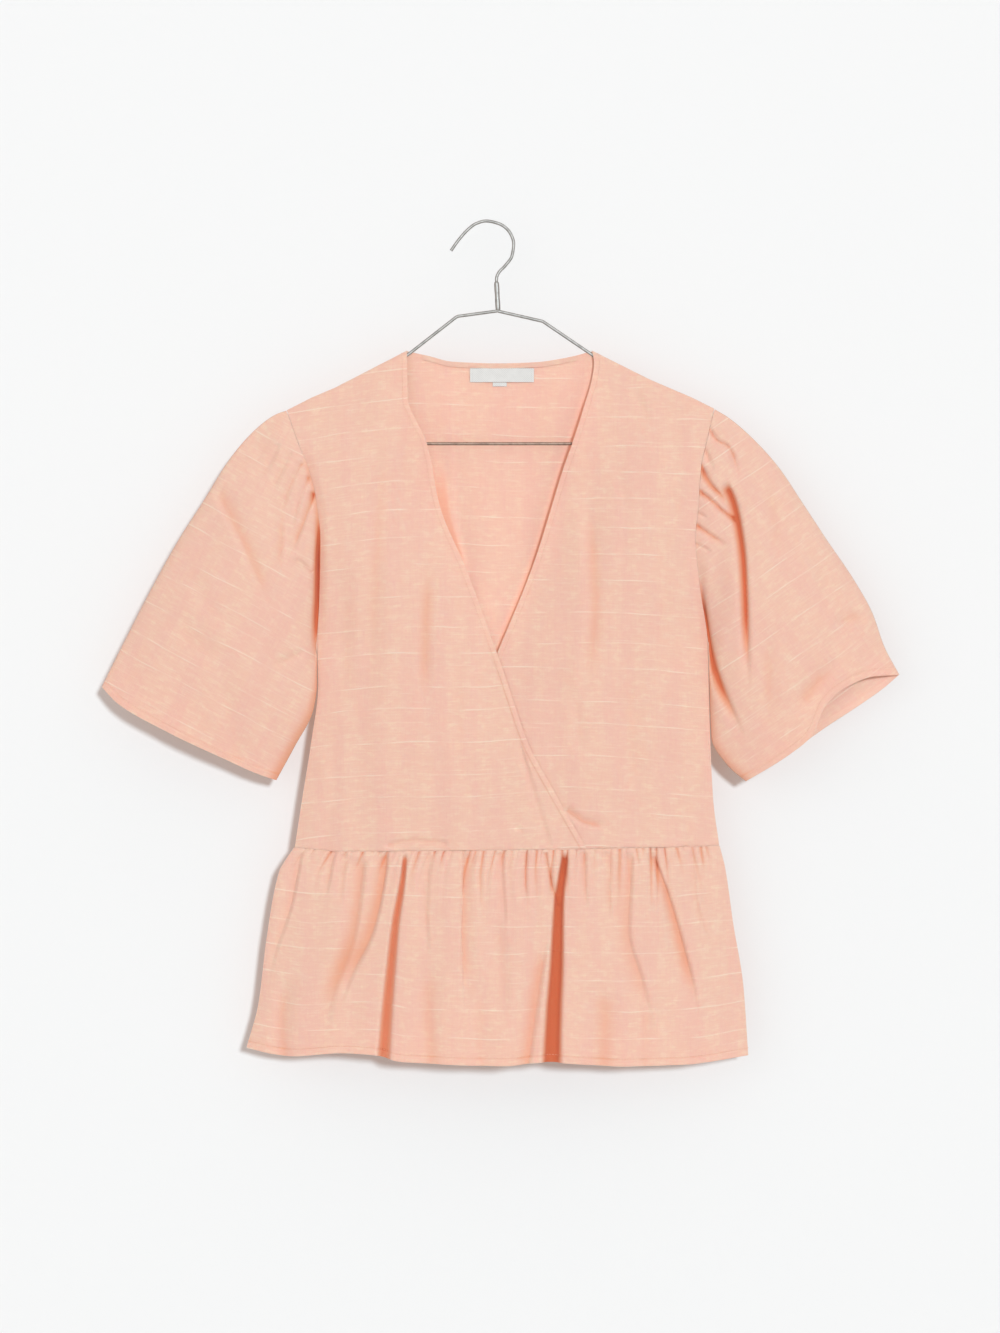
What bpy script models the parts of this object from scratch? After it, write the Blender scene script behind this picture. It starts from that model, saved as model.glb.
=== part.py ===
"""Wrap-front peplum top with gathered puff sleeves, hung on a bare wire hanger.

Metres, +Z up. +X is the viewer's right, the front faces -Y and a wall behind it would be at +Y.
The origin is the inside of the hook's crown, where a nail or rod bears.
The garment's tables are in millimetres on its front view: x is measured from the centre line and drop
down from the high shoulder points. Depth is measured forwards from the plane of the hanger.
"""

import math
from typing import NamedTuple

import bmesh
import bpy
import numpy as np

MM = 0.001

# Where the garment hangs from the hook
CENTRE_X = 12.6
SHOULDER_DROP = 115.5

# Cloth
WALL = 1.2
SEAM_GAP = 0.3
ARMHOLE_GAP = 0.4
SLEEVE_ROOM = 1.2
EDGE_DEPTH = 0.8
WIRE_ROOM = 1.8
RIDGE = 1.5
SHOULDER_SLOPE_LENGTH = 40.0
SIDE_ROUNDNESS = 0.8
SLEEVE_ROUNDNESS = 0.64

# Wrap
LAYER_STEP = 1.7
LAYER_FADE = 70.0

# Gathers
WAIST_GATHERS_FRONT = 46
WAIST_GATHERS_BACK = 44
GATHER_DEPTH = 1.5
GATHER_LENGTH = 26.0
HEAD_GATHERS = 8
HEAD_FROM = 0.42
HEAD_TO = 0.96
HEAD_LENGTH = 0.13

# Hanger
WIRE = 3.0
NECK_WIRE = 4.6
JOINT_GAP = 0.3
CORNER_RADIUS = 7.0
WIRE_SIDES = 2

# Label
LABEL_CENTRE_X = 1.8
LABEL_TOP = 15.4
LABEL_WIDTH = 57.6
LABEL_HEIGHT = 12.5
TAB_WIDTH = 12.6
TAB_HEIGHT = 3.6
TRIM_WALL = 1.0
LABEL_LIFT = 0.45


class Edge(NamedTuple):
    """A point of an edge that runs down the garment."""

    drop: float
    x: float


class Across(NamedTuple):
    """A point of an edge that runs across the garment."""

    x: float
    drop: float


class Section(NamedTuple):
    """How far the cloth stands from the hanger's plane: at its sides, and in the middle of the front and back."""

    drop: float
    side: float
    front: float
    back: float


class Puff(NamedTuple):
    """How far a sleeve's middle stands from the hanger's plane, at a share of the way from armhole to hem."""

    share: float
    depth: float


class Fold(NamedTuple):
    """A trough along a route. One that opens is still deep at the end of its route, as at a hem."""

    route: tuple
    half_width: float
    depth: float
    opens: bool


class WirePoint(NamedTuple):
    """A point of the hanger's wire, measured from the hook's crown."""

    x: float
    z: float


UNDERARM_DROP = 262.0

LEFT_EDGE = (
    Edge(53.6, -191.7),
    Edge(86.4, -180.0),
    Edge(102.6, -172.8),
    Edge(135.0, -164.7),
    Edge(170.0, -161.1),
    Edge(224.0, -162.2),
    Edge(UNDERARM_DROP, -164.2),
    Edge(300.0, -163.4),
    Edge(354.0, -170.0),
    Edge(404.0, -178.0),
    Edge(446.4, -184.5),
)
RIGHT_EDGE = (
    Edge(52.2, 192.6),
    Edge(86.4, 184.5),
    Edge(102.0, 180.9),
    Edge(147.0, 177.3),
    Edge(167.0, 175.2),
    Edge(210.0, 179.1),
    Edge(UNDERARM_DROP, 186.6),
    Edge(300.0, 187.6),
    Edge(354.0, 189.2),
    Edge(404.0, 191.7),
    Edge(444.8, 197.1),
)
SHOULDERS = (
    Across(-191.7, 53.6),
    Across(-168.8, 42.0),
    Across(-148.5, 33.4),
    Across(-83.7, 0.0),
    Across(-81.7, -4.0),
    Across(80.8, -4.0),
    Across(82.8, 0.0),
    Across(135.0, 26.1),
    Across(172.8, 42.3),
    Across(192.6, 52.2),
)
BACK_NECK = (
    Across(-83.7, 0.0),
    Across(-64.8, 4.2),
    Across(-43.2, 9.4),
    Across(0.0, 11.0),
    Across(32.0, 9.9),
    Across(61.2, 5.6),
    Across(82.8, 0.0),
)
WAIST = (
    Across(-184.5, 446.4),
    Across(-142.0, 449.5),
    Across(-60.0, 448.6),
    Across(77.0, 447.0),
    Across(197.1, 444.8),
)
OVER_EDGE = (
    Edge(0.0, -83.7),
    Edge(45.0, -82.8),
    Edge(57.0, -78.3),
    Edge(83.7, -65.7),
    Edge(140.0, -54.0),
    Edge(194.0, -31.5),
    Edge(272.0, -2.7),
    Edge(309.0, 9.9),
    Edge(353.0, 25.2),
    Edge(395.0, 47.7),
    Edge(447.0, 77.4),
)
UNDER_EDGE = (
    Edge(0.0, 82.8),
    Edge(11.0, 84.6),
    Edge(20.0, 83.7),
    Edge(53.0, 74.7),
    Edge(84.0, 64.8),
    Edge(107.0, 56.7),
    Edge(188.0, 31.5),
    Edge(272.7, -2.7),
    Edge(360.0, -40.0),
    Edge(448.8, -77.4),
)
PEPLUM_LEFT_EDGE = (
    Edge(446.4, -185.0),
    Edge(455.0, -191.0),
    Edge(469.0, -199.0),
    Edge(530.0, -210.2),
    Edge(588.0, -217.4),
    Edge(627.0, -228.0),
)
PEPLUM_RIGHT_EDGE = (
    Edge(444.8, 197.4),
    Edge(465.0, 202.5),
    Edge(515.0, 209.7),
    Edge(570.0, 218.7),
    Edge(633.6, 223.2),
)
HEM = (
    Across(-228.0, 627.0),
    Across(-188.0, 633.6),
    Across(-142.0, 630.0),
    Across(-116.0, 631.0),
    Across(-86.4, 637.2),
    Across(5.4, 640.4),
    Across(40.5, 637.4),
    Across(110.7, 641.5),
    Across(165.6, 640.6),
    Across(223.2, 633.6),
)
BODY_SECTIONS = (
    Section(0.0, WIRE_ROOM, 4.0, 3.0),
    Section(55.0, WIRE_ROOM, 9.0, 5.0),
    Section(90.0, 6.0, 15.0, 8.0),
    Section(130.0, 10.0, 20.0, 12.0),
    Section(170.0, 11.0, 23.0, 13.0),
    Section(215.0, 8.0, 24.5, 12.0),
    Section(245.0, 2.5, 25.0, 11.0),
    Section(UNDERARM_DROP, 0.0, 25.0, 11.0),
    Section(350.0, 0.0, 24.0, 11.0),
    Section(448.0, 0.0, 20.0, 11.0),
    Section(480.0, 0.0, 23.0, 13.0),
    Section(540.0, 0.0, 27.0, 14.0),
    Section(642.0, 0.0, 31.0, 15.0),
)

SLEEVE_LEFT_TOP = (
    Across(-195.6, 55.4),
    Across(-218.7, 70.4),
    Across(-243.0, 98.0),
    Across(-264.6, 132.0),
    Across(-288.9, 170.1),
    Across(-310.5, 208.6),
    Across(-337.5, 261.0),
    Across(-358.2, 302.4),
)
SLEEVE_LEFT_UNDER = (
    Across(-167.4, 263.2),
    Across(-167.6, 300.0),
    Across(-172.6, 332.0),
    Across(-185.4, 356.4),
    Across(-201.6, 386.1),
)
SLEEVE_LEFT_HEM = (
    Across(-201.6, 386.1),
    Across(-216.0, 381.0),
    Across(-256.5, 362.5),
    Across(-297.0, 343.2),
    Across(-342.9, 317.4),
    Across(-358.2, 302.4),
)
SLEEVE_RIGHT_TOP = (
    Across(196.2, 54.4),
    Across(229.5, 81.6),
    Across(251.1, 105.6),
    Across(270.0, 133.8),
    Across(294.3, 170.8),
    Across(318.6, 206.6),
    Across(334.8, 235.8),
    Across(345.6, 266.2),
    Across(359.1, 291.6),
)
SLEEVE_RIGHT_UNDER = (
    Across(190.0, 263.2),
    Across(191.0, 300.0),
    Across(192.4, 350.0),
    Across(205.0, 372.6),
    Across(221.4, 387.0),
)
SLEEVE_RIGHT_HEM_FRONT = (
    Across(221.4, 387.0),
    Across(259.2, 363.0),
    Across(279.0, 346.0),
    Across(291.6, 319.0),
    Across(310.5, 302.4),
    Across(337.5, 292.6),
    Across(359.1, 291.6),
)
SLEEVE_RIGHT_HEM_BACK = (
    Across(221.4, 387.0),
    Across(259.2, 363.5),
    Across(294.3, 338.5),
    Across(324.0, 319.0),
    Across(345.0, 304.0),
    Across(359.1, 291.6),
)
PUFF_FRONT = (
    Puff(0.0, 12.0),
    Puff(0.25, 22.0),
    Puff(0.6, 25.0),
    Puff(1.0, 17.0),
)
PUFF_BACK = (
    Puff(0.0, 10.0),
    Puff(0.25, 13.0),
    Puff(0.6, 14.0),
    Puff(1.0, 11.0),
)

PEPLUM_FRONT_FOLDS = (
    Fold(((-86, 450), (-95, 515), (-94, 540), (-105, 640)), 9.0, 10.0, True),
    Fold(((61, 450), (54, 500), (53, 552), (47, 640)), 8.0, 12.0, True),
    Fold(((41, 450), (48, 492), (24, 640)), 9.0, 4.0, True),
    Fold(((139, 450), (155, 504), (175, 570), (178, 642)), 8.0, 6.0, True),
    Fold(((119, 450), (117, 520)), 6.0, 3.0, False),
    Fold(((75, 450), (77, 525)), 6.0, 3.0, False),
    Fold(((-181, 450), (-190, 496), (-205, 540)), 7.0, 3.5, False),
    Fold(((-102, 450), (-116, 524), (-153, 561), (-162, 600)), 11.0, 4.5, False),
    Fold(((-123, 450), (-134, 530), (-142, 575)), 8.0, 3.0, False),
    Fold(((-35, 450), (-33, 606)), 13.0, 2.5, False),
    Fold(((2, 450), (3, 530)), 9.0, 2.5, False),
)
PEPLUM_BACK_FOLDS = (
    Fold(((-140, 450), (-150, 520), (-158, 640)), 9.0, 5.5, True),
    Fold(((-70, 450), (-74, 530), (-82, 640)), 9.0, 6.0, True),
    Fold(((-20, 450), (-16, 520), (-10, 640)), 10.0, 5.0, True),
    Fold(((45, 450), (52, 520), (60, 640)), 8.0, 6.5, True),
    Fold(((110, 450), (118, 520), (124, 640)), 9.0, 5.0, True),
    Fold(((160, 450), (168, 520), (176, 600)), 8.0, 3.5, False),
)
SLEEVE_LEFT_FOLDS = (
    Fold(((-256, 124), (-216, 186), (-192, 240)), 11.0, 3.0, False),
    Fold(((-176, 135), (-194, 170)), 8.0, 3.0, False),
)
SLEEVE_RIGHT_FOLDS = (
    Fold(((205, 122), (216, 162), (220, 197), (222, 251), (221, 292)), 7.0, 8.0, False),
    Fold(((186, 205), (190, 246), (196, 286), (208, 321), (219, 351)), 7.0, 6.0, False),
)

# The hook, from its free tip over the crown to the top of the neck
HOOK = (
    WirePoint(-31.5, -25.2),
    WirePoint(-26.6, -15.0),
    WirePoint(-18.0, -5.6),
    WirePoint(-9.0, 0.0),
    WirePoint(0.0, WIRE / 2),
    WirePoint(11.5, -0.9),
    WirePoint(20.9, -8.1),
    WirePoint(24.9, -18.9),
    WirePoint(23.4, -29.7),
    WirePoint(17.6, -38.4),
    WirePoint(11.2, -45.4),
    WirePoint(9.5, -50.0),
    WirePoint(9.4, -53.0),
)
NECK_TOP = WirePoint(9.4, -53.4)
NECK_FOOT = WirePoint(10.8, -79.2)
ARM_LEFT_START = WirePoint(9.6, -81.3)
ARM_RIGHT_START = WirePoint(12.4, -81.9)
ARM_LEFT_BEND = WirePoint(-26.1, -86.4)
ARM_RIGHT_BEND = WirePoint(51.3, -91.0)
ARM_LEFT_SHOULDER = WirePoint(-70.2, -119.4)
ARM_RIGHT_SHOULDER = WirePoint(95.6, -119.6)
BAR_Z = -199.0
CORNER_LEFT = -203.0
CORNER_RIGHT = 228.0

# How finely the cloth is divided: shares of a piece's width or length
SIDE_STEPS = (0.0, 0.012, 0.04, 0.1, 0.19, 0.29, 0.4, 0.52, 0.64, 0.76, 0.88, 1.0)
BACK_STEPS = (0.0, 0.006, 0.02, 0.05, 0.11, 0.19, 0.281, 0.2862, 0.34, 0.42, 0.5, 0.58, 0.66, 0.7091,
              0.714, 0.81, 0.89, 0.95, 0.98, 0.994, 1.0)
DOWN_STEPS = (0.0, 0.003, 0.008, 0.022, 0.06, 0.12, 0.2, 0.29, 0.38, 0.46, 0.524, 0.6, 0.7, 0.8, 0.9, 1.0)
PEPLUM_STEPS = (0.0, 0.03, 0.09, 0.2, 0.38, 0.58, 0.8, 1.0)
SLEEVE_STEPS = (0.0, 0.04, 0.1, 0.2, 0.36, 0.56, 0.78, 1.0)
TURN_STEPS = (0.0, 0.002, 0.006)
UNDERSIDE_STEPS = (0.04, 0.12, 0.22, 0.32)
TURN_SHARE = 0.006
END_SHARE = 0.02
FOLD_SHARE = 0.03
BINDING_ROWS = slice(0, 3)
BINDING_COLUMNS = slice(8, 13)


class Profile:
    """A smooth curve through the rows of a table, with no overshoot: its second column by its first."""

    def __init__(self, rows):
        table = np.array([row[:2] for row in rows], float)
        self.keys, self.values = table.T
        rises = np.diff(self.values) / np.diff(self.keys)
        product, total = rises[:-1] * rises[1:], rises[:-1] + rises[1:]
        turning = product <= 0
        inner = np.where(turning, 0.0, 2 * product / np.where(turning, 1.0, total))
        self.slopes = np.concatenate([rises[:1], inner, rises[-1:]])

    def __call__(self, key):
        key = np.clip(key, self.keys[0], self.keys[-1])
        last = np.clip(np.searchsorted(self.keys, key, side="right"), 1, len(self.keys) - 1)
        first = last - 1
        span = self.keys[last] - self.keys[first]
        part = (key - self.keys[first]) / span
        ease = part * part * (3 - 2 * part)
        rise = self.slopes[first] * part * (1 - part) ** 2 - self.slopes[last] * part * part * (1 - part)
        return self.values[first] * (1 - ease) + self.values[last] * ease + span * rise


class Route:
    """A smooth curve through flat points, read by its share of the way along."""

    def __init__(self, rows):
        points = np.array(rows, float)
        steps = np.linalg.norm(np.diff(points, axis=0), axis=1)
        shares = np.concatenate([[0.0], np.cumsum(steps)]) / steps.sum()
        self.x = Profile(np.column_stack([shares, points[:, 0]]))
        self.y = Profile(np.column_stack([shares, points[:, 1]]))

    def __call__(self, share):
        return np.stack([self.x(share), self.y(share)], axis=-1)


LEFT_X = Profile(LEFT_EDGE)
RIGHT_X = Profile(RIGHT_EDGE)
OVER_X = Profile(OVER_EDGE)
UNDER_X = Profile(UNDER_EDGE)
PEPLUM_LEFT_X = Profile(PEPLUM_LEFT_EDGE)
PEPLUM_RIGHT_X = Profile(PEPLUM_RIGHT_EDGE)
WAIST_DROP = Profile(WAIST)
HEM_DROP = Profile(HEM)
BACK_NECK_DROP = Profile(BACK_NECK)
SIDE_DEPTH = Profile([(row.drop, row.side) for row in BODY_SECTIONS])
FRONT_DEPTH = Profile([(row.drop, row.front) for row in BODY_SECTIONS])
BACK_DEPTH = Profile([(row.drop, row.back) for row in BODY_SECTIONS])


def shoulder_drop(x):
    """The drop of the shoulder seam, and across the neck that of a line a little above its high points."""
    table = np.array(SHOULDERS)
    return np.interp(x, table[:, 0], table[:, 1])


def place(x, depth, drop):
    """World position in metres of a point of the garment given in millimetres."""
    return np.stack([(CENTRE_X + x) * MM, -depth * MM, -(SHOULDER_DROP + drop) * MM], axis=-1)


def smooth_step(value):
    value = np.clip(value, 0, 1)
    return value * value * (3 - 2 * value)


def trough(x, drop, folds):
    """How deep the folds are at each point of a piece."""
    total = np.zeros(np.shape(x))
    for fold in folds:
        points = np.array(fold.route, float)
        lengths = np.linalg.norm(np.diff(points, axis=0), axis=1)
        nearest = np.full(np.shape(x), np.inf)
        share = np.zeros(np.shape(x))
        walked = 0.0
        for start, end, length in zip(points[:-1], points[1:], lengths):
            way = (end - start) / length
            along = np.clip((x - start[0]) * way[0] + (drop - start[1]) * way[1], 0, length)
            away = np.hypot(x - start[0] - along * way[0], drop - start[1] - along * way[1])
            share = np.where(away < nearest, (walked + along) / lengths.sum(), share)
            nearest = np.minimum(away, nearest)
            walked += length
        fade = smooth_step(share / 0.35) * (1 if fold.opens else smooth_step((1 - share) / 0.4))
        total += fold.depth * fade * np.exp(-((nearest / fold.half_width) ** 2))
    return total


def across_share(x, drop, left, right):
    """How far across the garment a point is, from 0 at the left edge to 1 at the right one."""
    return np.clip((x - left(drop)) / (right(drop) - left(drop)), 0, 1)


def body_depth(x, drop, middle):
    """Distance of the bodice's cloth from the hanger's plane, front or back as middle says."""
    share = across_share(x, drop, LEFT_X, RIGHT_X)
    below = np.maximum(drop - shoulder_drop(x), 0)
    side = SIDE_DEPTH(drop)
    crown = np.sin(np.pi * share) ** SIDE_ROUNDNESS
    over_ridge = 1 - np.exp(-below / RIDGE)
    down_slope = 1 - np.exp(-below / SHOULDER_SLOPE_LENGTH)
    return EDGE_DEPTH + side * over_ridge + (middle(drop) - side) * crown * down_slope


def coons(top, bottom, left, right, across, down):
    """Points of a patch inside four edges. top and bottom are read by across, left and right by down."""
    across, down = np.meshgrid(across, down)
    u, v = across[..., None], down[..., None]
    flat = (1 - v) * top(across) + v * bottom(across) + (1 - u) * left(down) + u * right(down)
    corners = ((1 - u) * (1 - v) * left(0.0) + u * (1 - v) * right(0.0)
               + (1 - u) * v * left(1.0) + u * v * right(1.0))
    return flat - corners


def edge_between(profile, start, end):
    """An edge that runs down, read by its share of the way from the start drop to the end drop."""
    def edge(share):
        drop = start + (end - start) * np.asarray(share, float)
        return np.stack([profile(drop), drop], axis=-1)
    return edge


def edge_across(drop_at, start_x, end_x):
    """An edge that runs across, read by its share of the way from start_x to end_x."""
    def edge(share):
        x = start_x + (end_x - start_x) * np.asarray(share, float)
        return np.stack([x, drop_at(x)], axis=-1)
    return edge


def normals_of(grid, ring):
    """Outward directions of a grid whose rows run down and whose columns run left to right on the front."""
    if ring:
        across = np.roll(grid, -1, axis=1) - np.roll(grid, 1, axis=1)
    else:
        across = np.gradient(grid, axis=1)
    down = np.gradient(grid, axis=0)
    normals = np.cross(down, across)
    return normals / np.linalg.norm(normals, axis=2, keepdims=True)


def squared_at_edges(normals):
    """The same directions with those on the border turned straight out, so that seams keep an even gap."""
    straight = np.zeros_like(normals)
    straight[..., 1] = np.sign(normals[..., 1])
    normals = normals.copy()
    for border in (np.s_[0, :], np.s_[-1, :], np.s_[:, 0], np.s_[:, -1]):
        normals[border] = straight[border]
    return normals


def squared_at_armhole(normals):
    """A sleeve's directions with its armhole edge turned straight out, but for its folds at top and bottom."""
    shares = sleeve_shares()
    folds = 1 - smooth_step(np.minimum(shares, 1 - shares) / FOLD_SHARE)
    weight = np.concatenate([folds, folds[-2:0:-1]])
    normals = normals.copy()
    normals[0, :, 0] *= weight
    normals[0, :, 2] *= weight
    normals[0] /= np.linalg.norm(normals[0], axis=1, keepdims=True)
    return normals


def wall_mesh(name, grid, normals, wall, ring=False):
    """A closed wall with this grid as its middle surface. A ring's last column joins its first."""
    rows, columns = grid.shape[:2]
    skins = np.stack([grid + normals * wall * MM / 2, grid - normals * wall * MM / 2])
    mesh = bpy.data.meshes.new(name)
    shell = bmesh.new()
    points = [shell.verts.new(point) for point in skins.reshape(-1, 3)]

    def point(skin, row, column):
        return points[(skin * rows + row) * columns + column % columns]

    strips = columns if ring else columns - 1
    for row in range(rows - 1):
        for column in range(strips):
            outer = [point(0, row, column), point(0, row + 1, column),
                     point(0, row + 1, column + 1), point(0, row, column + 1)]
            inner = [point(1, row, column), point(1, row, column + 1),
                     point(1, row + 1, column + 1), point(1, row + 1, column)]
            shell.faces.new(outer)
            shell.faces.new(inner)
    for column in range(strips):
        shell.faces.new([point(0, 0, column), point(0, 0, column + 1),
                         point(1, 0, column + 1), point(1, 0, column)])
        shell.faces.new([point(0, rows - 1, column + 1), point(0, rows - 1, column),
                         point(1, rows - 1, column), point(1, rows - 1, column + 1)])
    if not ring:
        for row in range(rows - 1):
            shell.faces.new([point(0, row + 1, 0), point(0, row, 0), point(1, row, 0), point(1, row + 1, 0)])
            shell.faces.new([point(0, row, columns - 1), point(0, row + 1, columns - 1),
                             point(1, row + 1, columns - 1), point(1, row, columns - 1)])
    bmesh.ops.recalc_face_normals(shell, faces=shell.faces)
    shell.to_mesh(mesh)
    shell.free()
    mesh.shade_smooth()
    mesh.set_sharp_from_angle(angle=math.radians(50))
    return mesh


def principled(name, colour, roughness, metallic=0.0):
    material = bpy.data.materials.new(name)
    material.use_nodes = True
    shader = material.node_tree.nodes["Principled BSDF"]
    shader.inputs["Base Color"].default_value = (*colour, 1.0)
    shader.inputs["Roughness"].default_value = roughness
    shader.inputs["Metallic"].default_value = metallic
    return material


def add_piece(collection, name, mesh, material):
    piece = bpy.data.objects.new(name, mesh)
    mesh.materials.append(material)
    collection.objects.link(piece)
    return piece


def front_over_grid():
    """The front that laps over, from its armhole and side seam to its wrap edge."""
    left = edge_between(LEFT_X, LEFT_EDGE[0].drop, LEFT_EDGE[-1].drop)
    right = edge_between(OVER_X, OVER_EDGE[0].drop, OVER_EDGE[-1].drop)
    top = edge_across(shoulder_drop, SHOULDERS[0].x, OVER_EDGE[0].x)
    bottom = edge_across(WAIST_DROP, LEFT_EDGE[-1].x, OVER_EDGE[-1].x)
    x, drop = np.moveaxis(coons(top, bottom, left, right, SIDE_STEPS, DOWN_STEPS), -1, 0)
    return place(x, body_depth(x, drop, FRONT_DEPTH), drop)


def front_under_grid():
    """The front that is lapped over, which runs on inside the other to its own hidden wrap edge."""
    left = edge_between(UNDER_X, UNDER_EDGE[0].drop, UNDER_EDGE[-1].drop)
    right = edge_between(RIGHT_X, RIGHT_EDGE[0].drop, RIGHT_EDGE[-1].drop)
    top = edge_across(shoulder_drop, UNDER_EDGE[0].x, SHOULDERS[-1].x)
    bottom = edge_across(WAIST_DROP, UNDER_EDGE[-1].x, RIGHT_EDGE[-1].x)
    across = 1 - np.array(SIDE_STEPS[::-1])
    x, drop = np.moveaxis(coons(top, bottom, left, right, across, DOWN_STEPS), -1, 0)
    past_lap = x - OVER_X(drop)
    under = (1 - smooth_step(past_lap / LAYER_FADE)) * smooth_step((drop - 150) / 60)
    return place(x, body_depth(x, drop, FRONT_DEPTH) - LAYER_STEP * under, drop)


def back_flat(across, down):
    """Flat points of the back at these shares of its width and length."""
    def top_drop(x):
        in_neck = (x > BACK_NECK[0].x) & (x < BACK_NECK[-1].x)
        return np.where(in_neck, BACK_NECK_DROP(x), shoulder_drop(x))
    left = edge_between(LEFT_X, LEFT_EDGE[0].drop, LEFT_EDGE[-1].drop)
    right = edge_between(RIGHT_X, RIGHT_EDGE[0].drop, RIGHT_EDGE[-1].drop)
    top = edge_across(top_drop, SHOULDERS[0].x, SHOULDERS[-1].x)
    bottom = edge_across(WAIST_DROP, LEFT_EDGE[-1].x, RIGHT_EDGE[-1].x)
    return np.moveaxis(coons(top, bottom, left, right, across, down), -1, 0)


def back_grid():
    x, drop = back_flat(BACK_STEPS, DOWN_STEPS)
    return place(x, -body_depth(x, drop, BACK_DEPTH), drop)


def gather_wave(count, fall, strength):
    """Zigzag of the gathers at each column, deepest just below the seam and uneven in length."""
    columns = np.arange(2 * count + 1)
    uneven = 0.75 + 0.25 * np.sin(columns * 1.7) + 0.15 * np.sin(columns * 0.61)
    reach = 0.8 + 0.45 * np.sin(columns * 0.93 + 1.0)
    rise = 0.7 + 0.3 * smooth_step(fall / 0.3)
    return strength * (-1.0) ** columns * uneven * rise * np.exp(-fall / (0.55 + 0.45 * reach))


def peplum_grid(gathers, middle, folds, side):
    """One gathered skirt piece. side is 1 for the front and -1 for the back."""
    across, down = np.linspace(0, 1, 2 * gathers + 1), np.array(PEPLUM_STEPS)
    left = edge_between(PEPLUM_LEFT_X, WAIST_DROP(-184.5) + SEAM_GAP, HEM[0].drop)
    right = edge_between(PEPLUM_RIGHT_X, WAIST_DROP(197.1) + SEAM_GAP, HEM[-1].drop)
    top = edge_across(lambda x: WAIST_DROP(x) + SEAM_GAP, PEPLUM_LEFT_EDGE[0].x, PEPLUM_RIGHT_EDGE[0].x)
    bottom = edge_across(HEM_DROP, HEM[0].x, HEM[-1].x)
    x, drop = np.moveaxis(coons(top, bottom, left, right, across, down), -1, 0)
    share = across_share(x, drop, PEPLUM_LEFT_X, PEPLUM_RIGHT_X)
    crown = np.sin(np.pi * share) ** SIDE_ROUNDNESS
    near_side = smooth_step(np.minimum(share, 1 - share) / 0.07)
    fall = (drop - WAIST_DROP(x)) / GATHER_LENGTH
    waves = gather_wave(gathers, fall, GATHER_DEPTH) - trough(x, drop, folds)
    depth = EDGE_DEPTH + middle(drop) * crown + waves * near_side
    return place(x, side * depth, drop)


def sleeve_shares():
    """Shares of the way from the underside fold to the top fold, fine at the folds and the gathers."""
    gathers = np.linspace(HEAD_FROM, HEAD_TO, 2 * HEAD_GATHERS + 1)
    top_turn = 1 - np.array(TURN_STEPS[::-1])
    return np.concatenate([TURN_STEPS, UNDERSIDE_STEPS, gathers, top_turn])


def sleeve_half(bodice, armhole, hem, under, top, puff, folds):
    """Flat points and depths of a sleeve's front or back half, rows from armhole to hem."""
    shares, down = sleeve_shares(), np.array(SLEEVE_STEPS)
    x, drop = np.moveaxis(coons(armhole, hem, under, top, shares, down), -1, 0)
    share, fall = np.meshgrid(shares, down)
    side = np.sign(x)
    clear = np.abs(bodice(drop)) + ARMHOLE_GAP + SLEEVE_ROOM * smooth_step(fall / SLEEVE_STEPS[1])
    x = side * np.maximum(np.abs(x), np.where(fall > 0, clear, 0))
    turn = np.sqrt(1 - (1 - np.minimum(np.minimum(share, 1 - share) / TURN_SHARE, 1)) ** 2)
    arm_x, arm_drop = np.moveaxis(armhole(share), -1, 0)
    arm = EDGE_DEPTH + SIDE_DEPTH(arm_drop)
    away = smooth_step(fall / 0.35)
    volume = puff(fall) * np.sin(np.pi * share) ** SLEEVE_ROUNDNESS
    depth = turn * ((1 - away) * arm + away * EDGE_DEPTH) + away * volume
    columns = np.arange(len(shares))
    in_head = smooth_step((share - HEAD_FROM + 0.05) / 0.05) * smooth_step((HEAD_TO + 0.03 - share) / 0.03)
    uneven = 0.8 + 0.3 * np.sin(columns * 1.3)
    gathers = GATHER_DEPTH * (-1.0) ** columns * uneven * in_head * np.exp(-fall / HEAD_LENGTH)
    inside = smooth_step(np.minimum(share, 1 - share) / 0.08)
    return x, drop, depth + gathers - trough(x, drop, folds) * inside


def bodice_side(body_x, body_edge):
    """The bodice's own side edge as its rows divide it: x by drop, straight between the rows."""
    rows = body_edge[0].drop + (body_edge[-1].drop - body_edge[0].drop) * np.array(DOWN_STEPS)
    return lambda drop: np.interp(drop, rows, body_x(rows))


def armhole_beside(bodice, under, top):
    """The sleeve's armhole edge, from underarm to shoulder: a seam's gap out from the bodice's own edge."""
    gap = math.copysign(ARMHOLE_GAP, top.x)
    shifts = [under.x - bodice(under.drop), gap, gap, top.x - bodice(top.drop)]

    def beside(share):
        drop = under.drop + (top.drop - under.drop) * np.asarray(share, float)
        shift = np.interp(share, [0, END_SHARE, 1 - END_SHARE, 1], shifts)
        return np.stack([bodice(drop) + shift, drop], axis=-1)
    return beside


def sleeve_grid(body_x, body_edge, top, under, hem_front, hem_back, folds):
    """A sleeve as a ring of columns: up its front from the underside fold, then down its back."""
    bodice = bodice_side(body_x, body_edge)
    armhole = armhole_beside(bodice, under[0], top[0])
    halves = []
    for hem, puff, creases in ((hem_front, PUFF_FRONT, folds), (hem_back, PUFF_BACK, ())):
        edges = (armhole, Route(hem), Route(under), Route(top))
        halves.append(sleeve_half(bodice, *edges, Profile(puff), creases))
    (front_x, front_drop, front_depth), (back_x, back_drop, back_depth) = halves
    front = place(front_x, front_depth, front_drop)
    back = place(back_x, -back_depth, back_drop)[:, -2:0:-1]
    return np.concatenate([front, back], axis=1)


def binding_grid():
    """The turned band inside the back neck: the back's own points there, moved in off its wall."""
    grid = back_grid()
    inward = -squared_at_edges(normals_of(grid, False))
    lift = (WALL / 2 + SEAM_GAP + TRIM_WALL / 2) * MM
    return (grid + inward * lift)[BINDING_ROWS, BINDING_COLUMNS]


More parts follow.
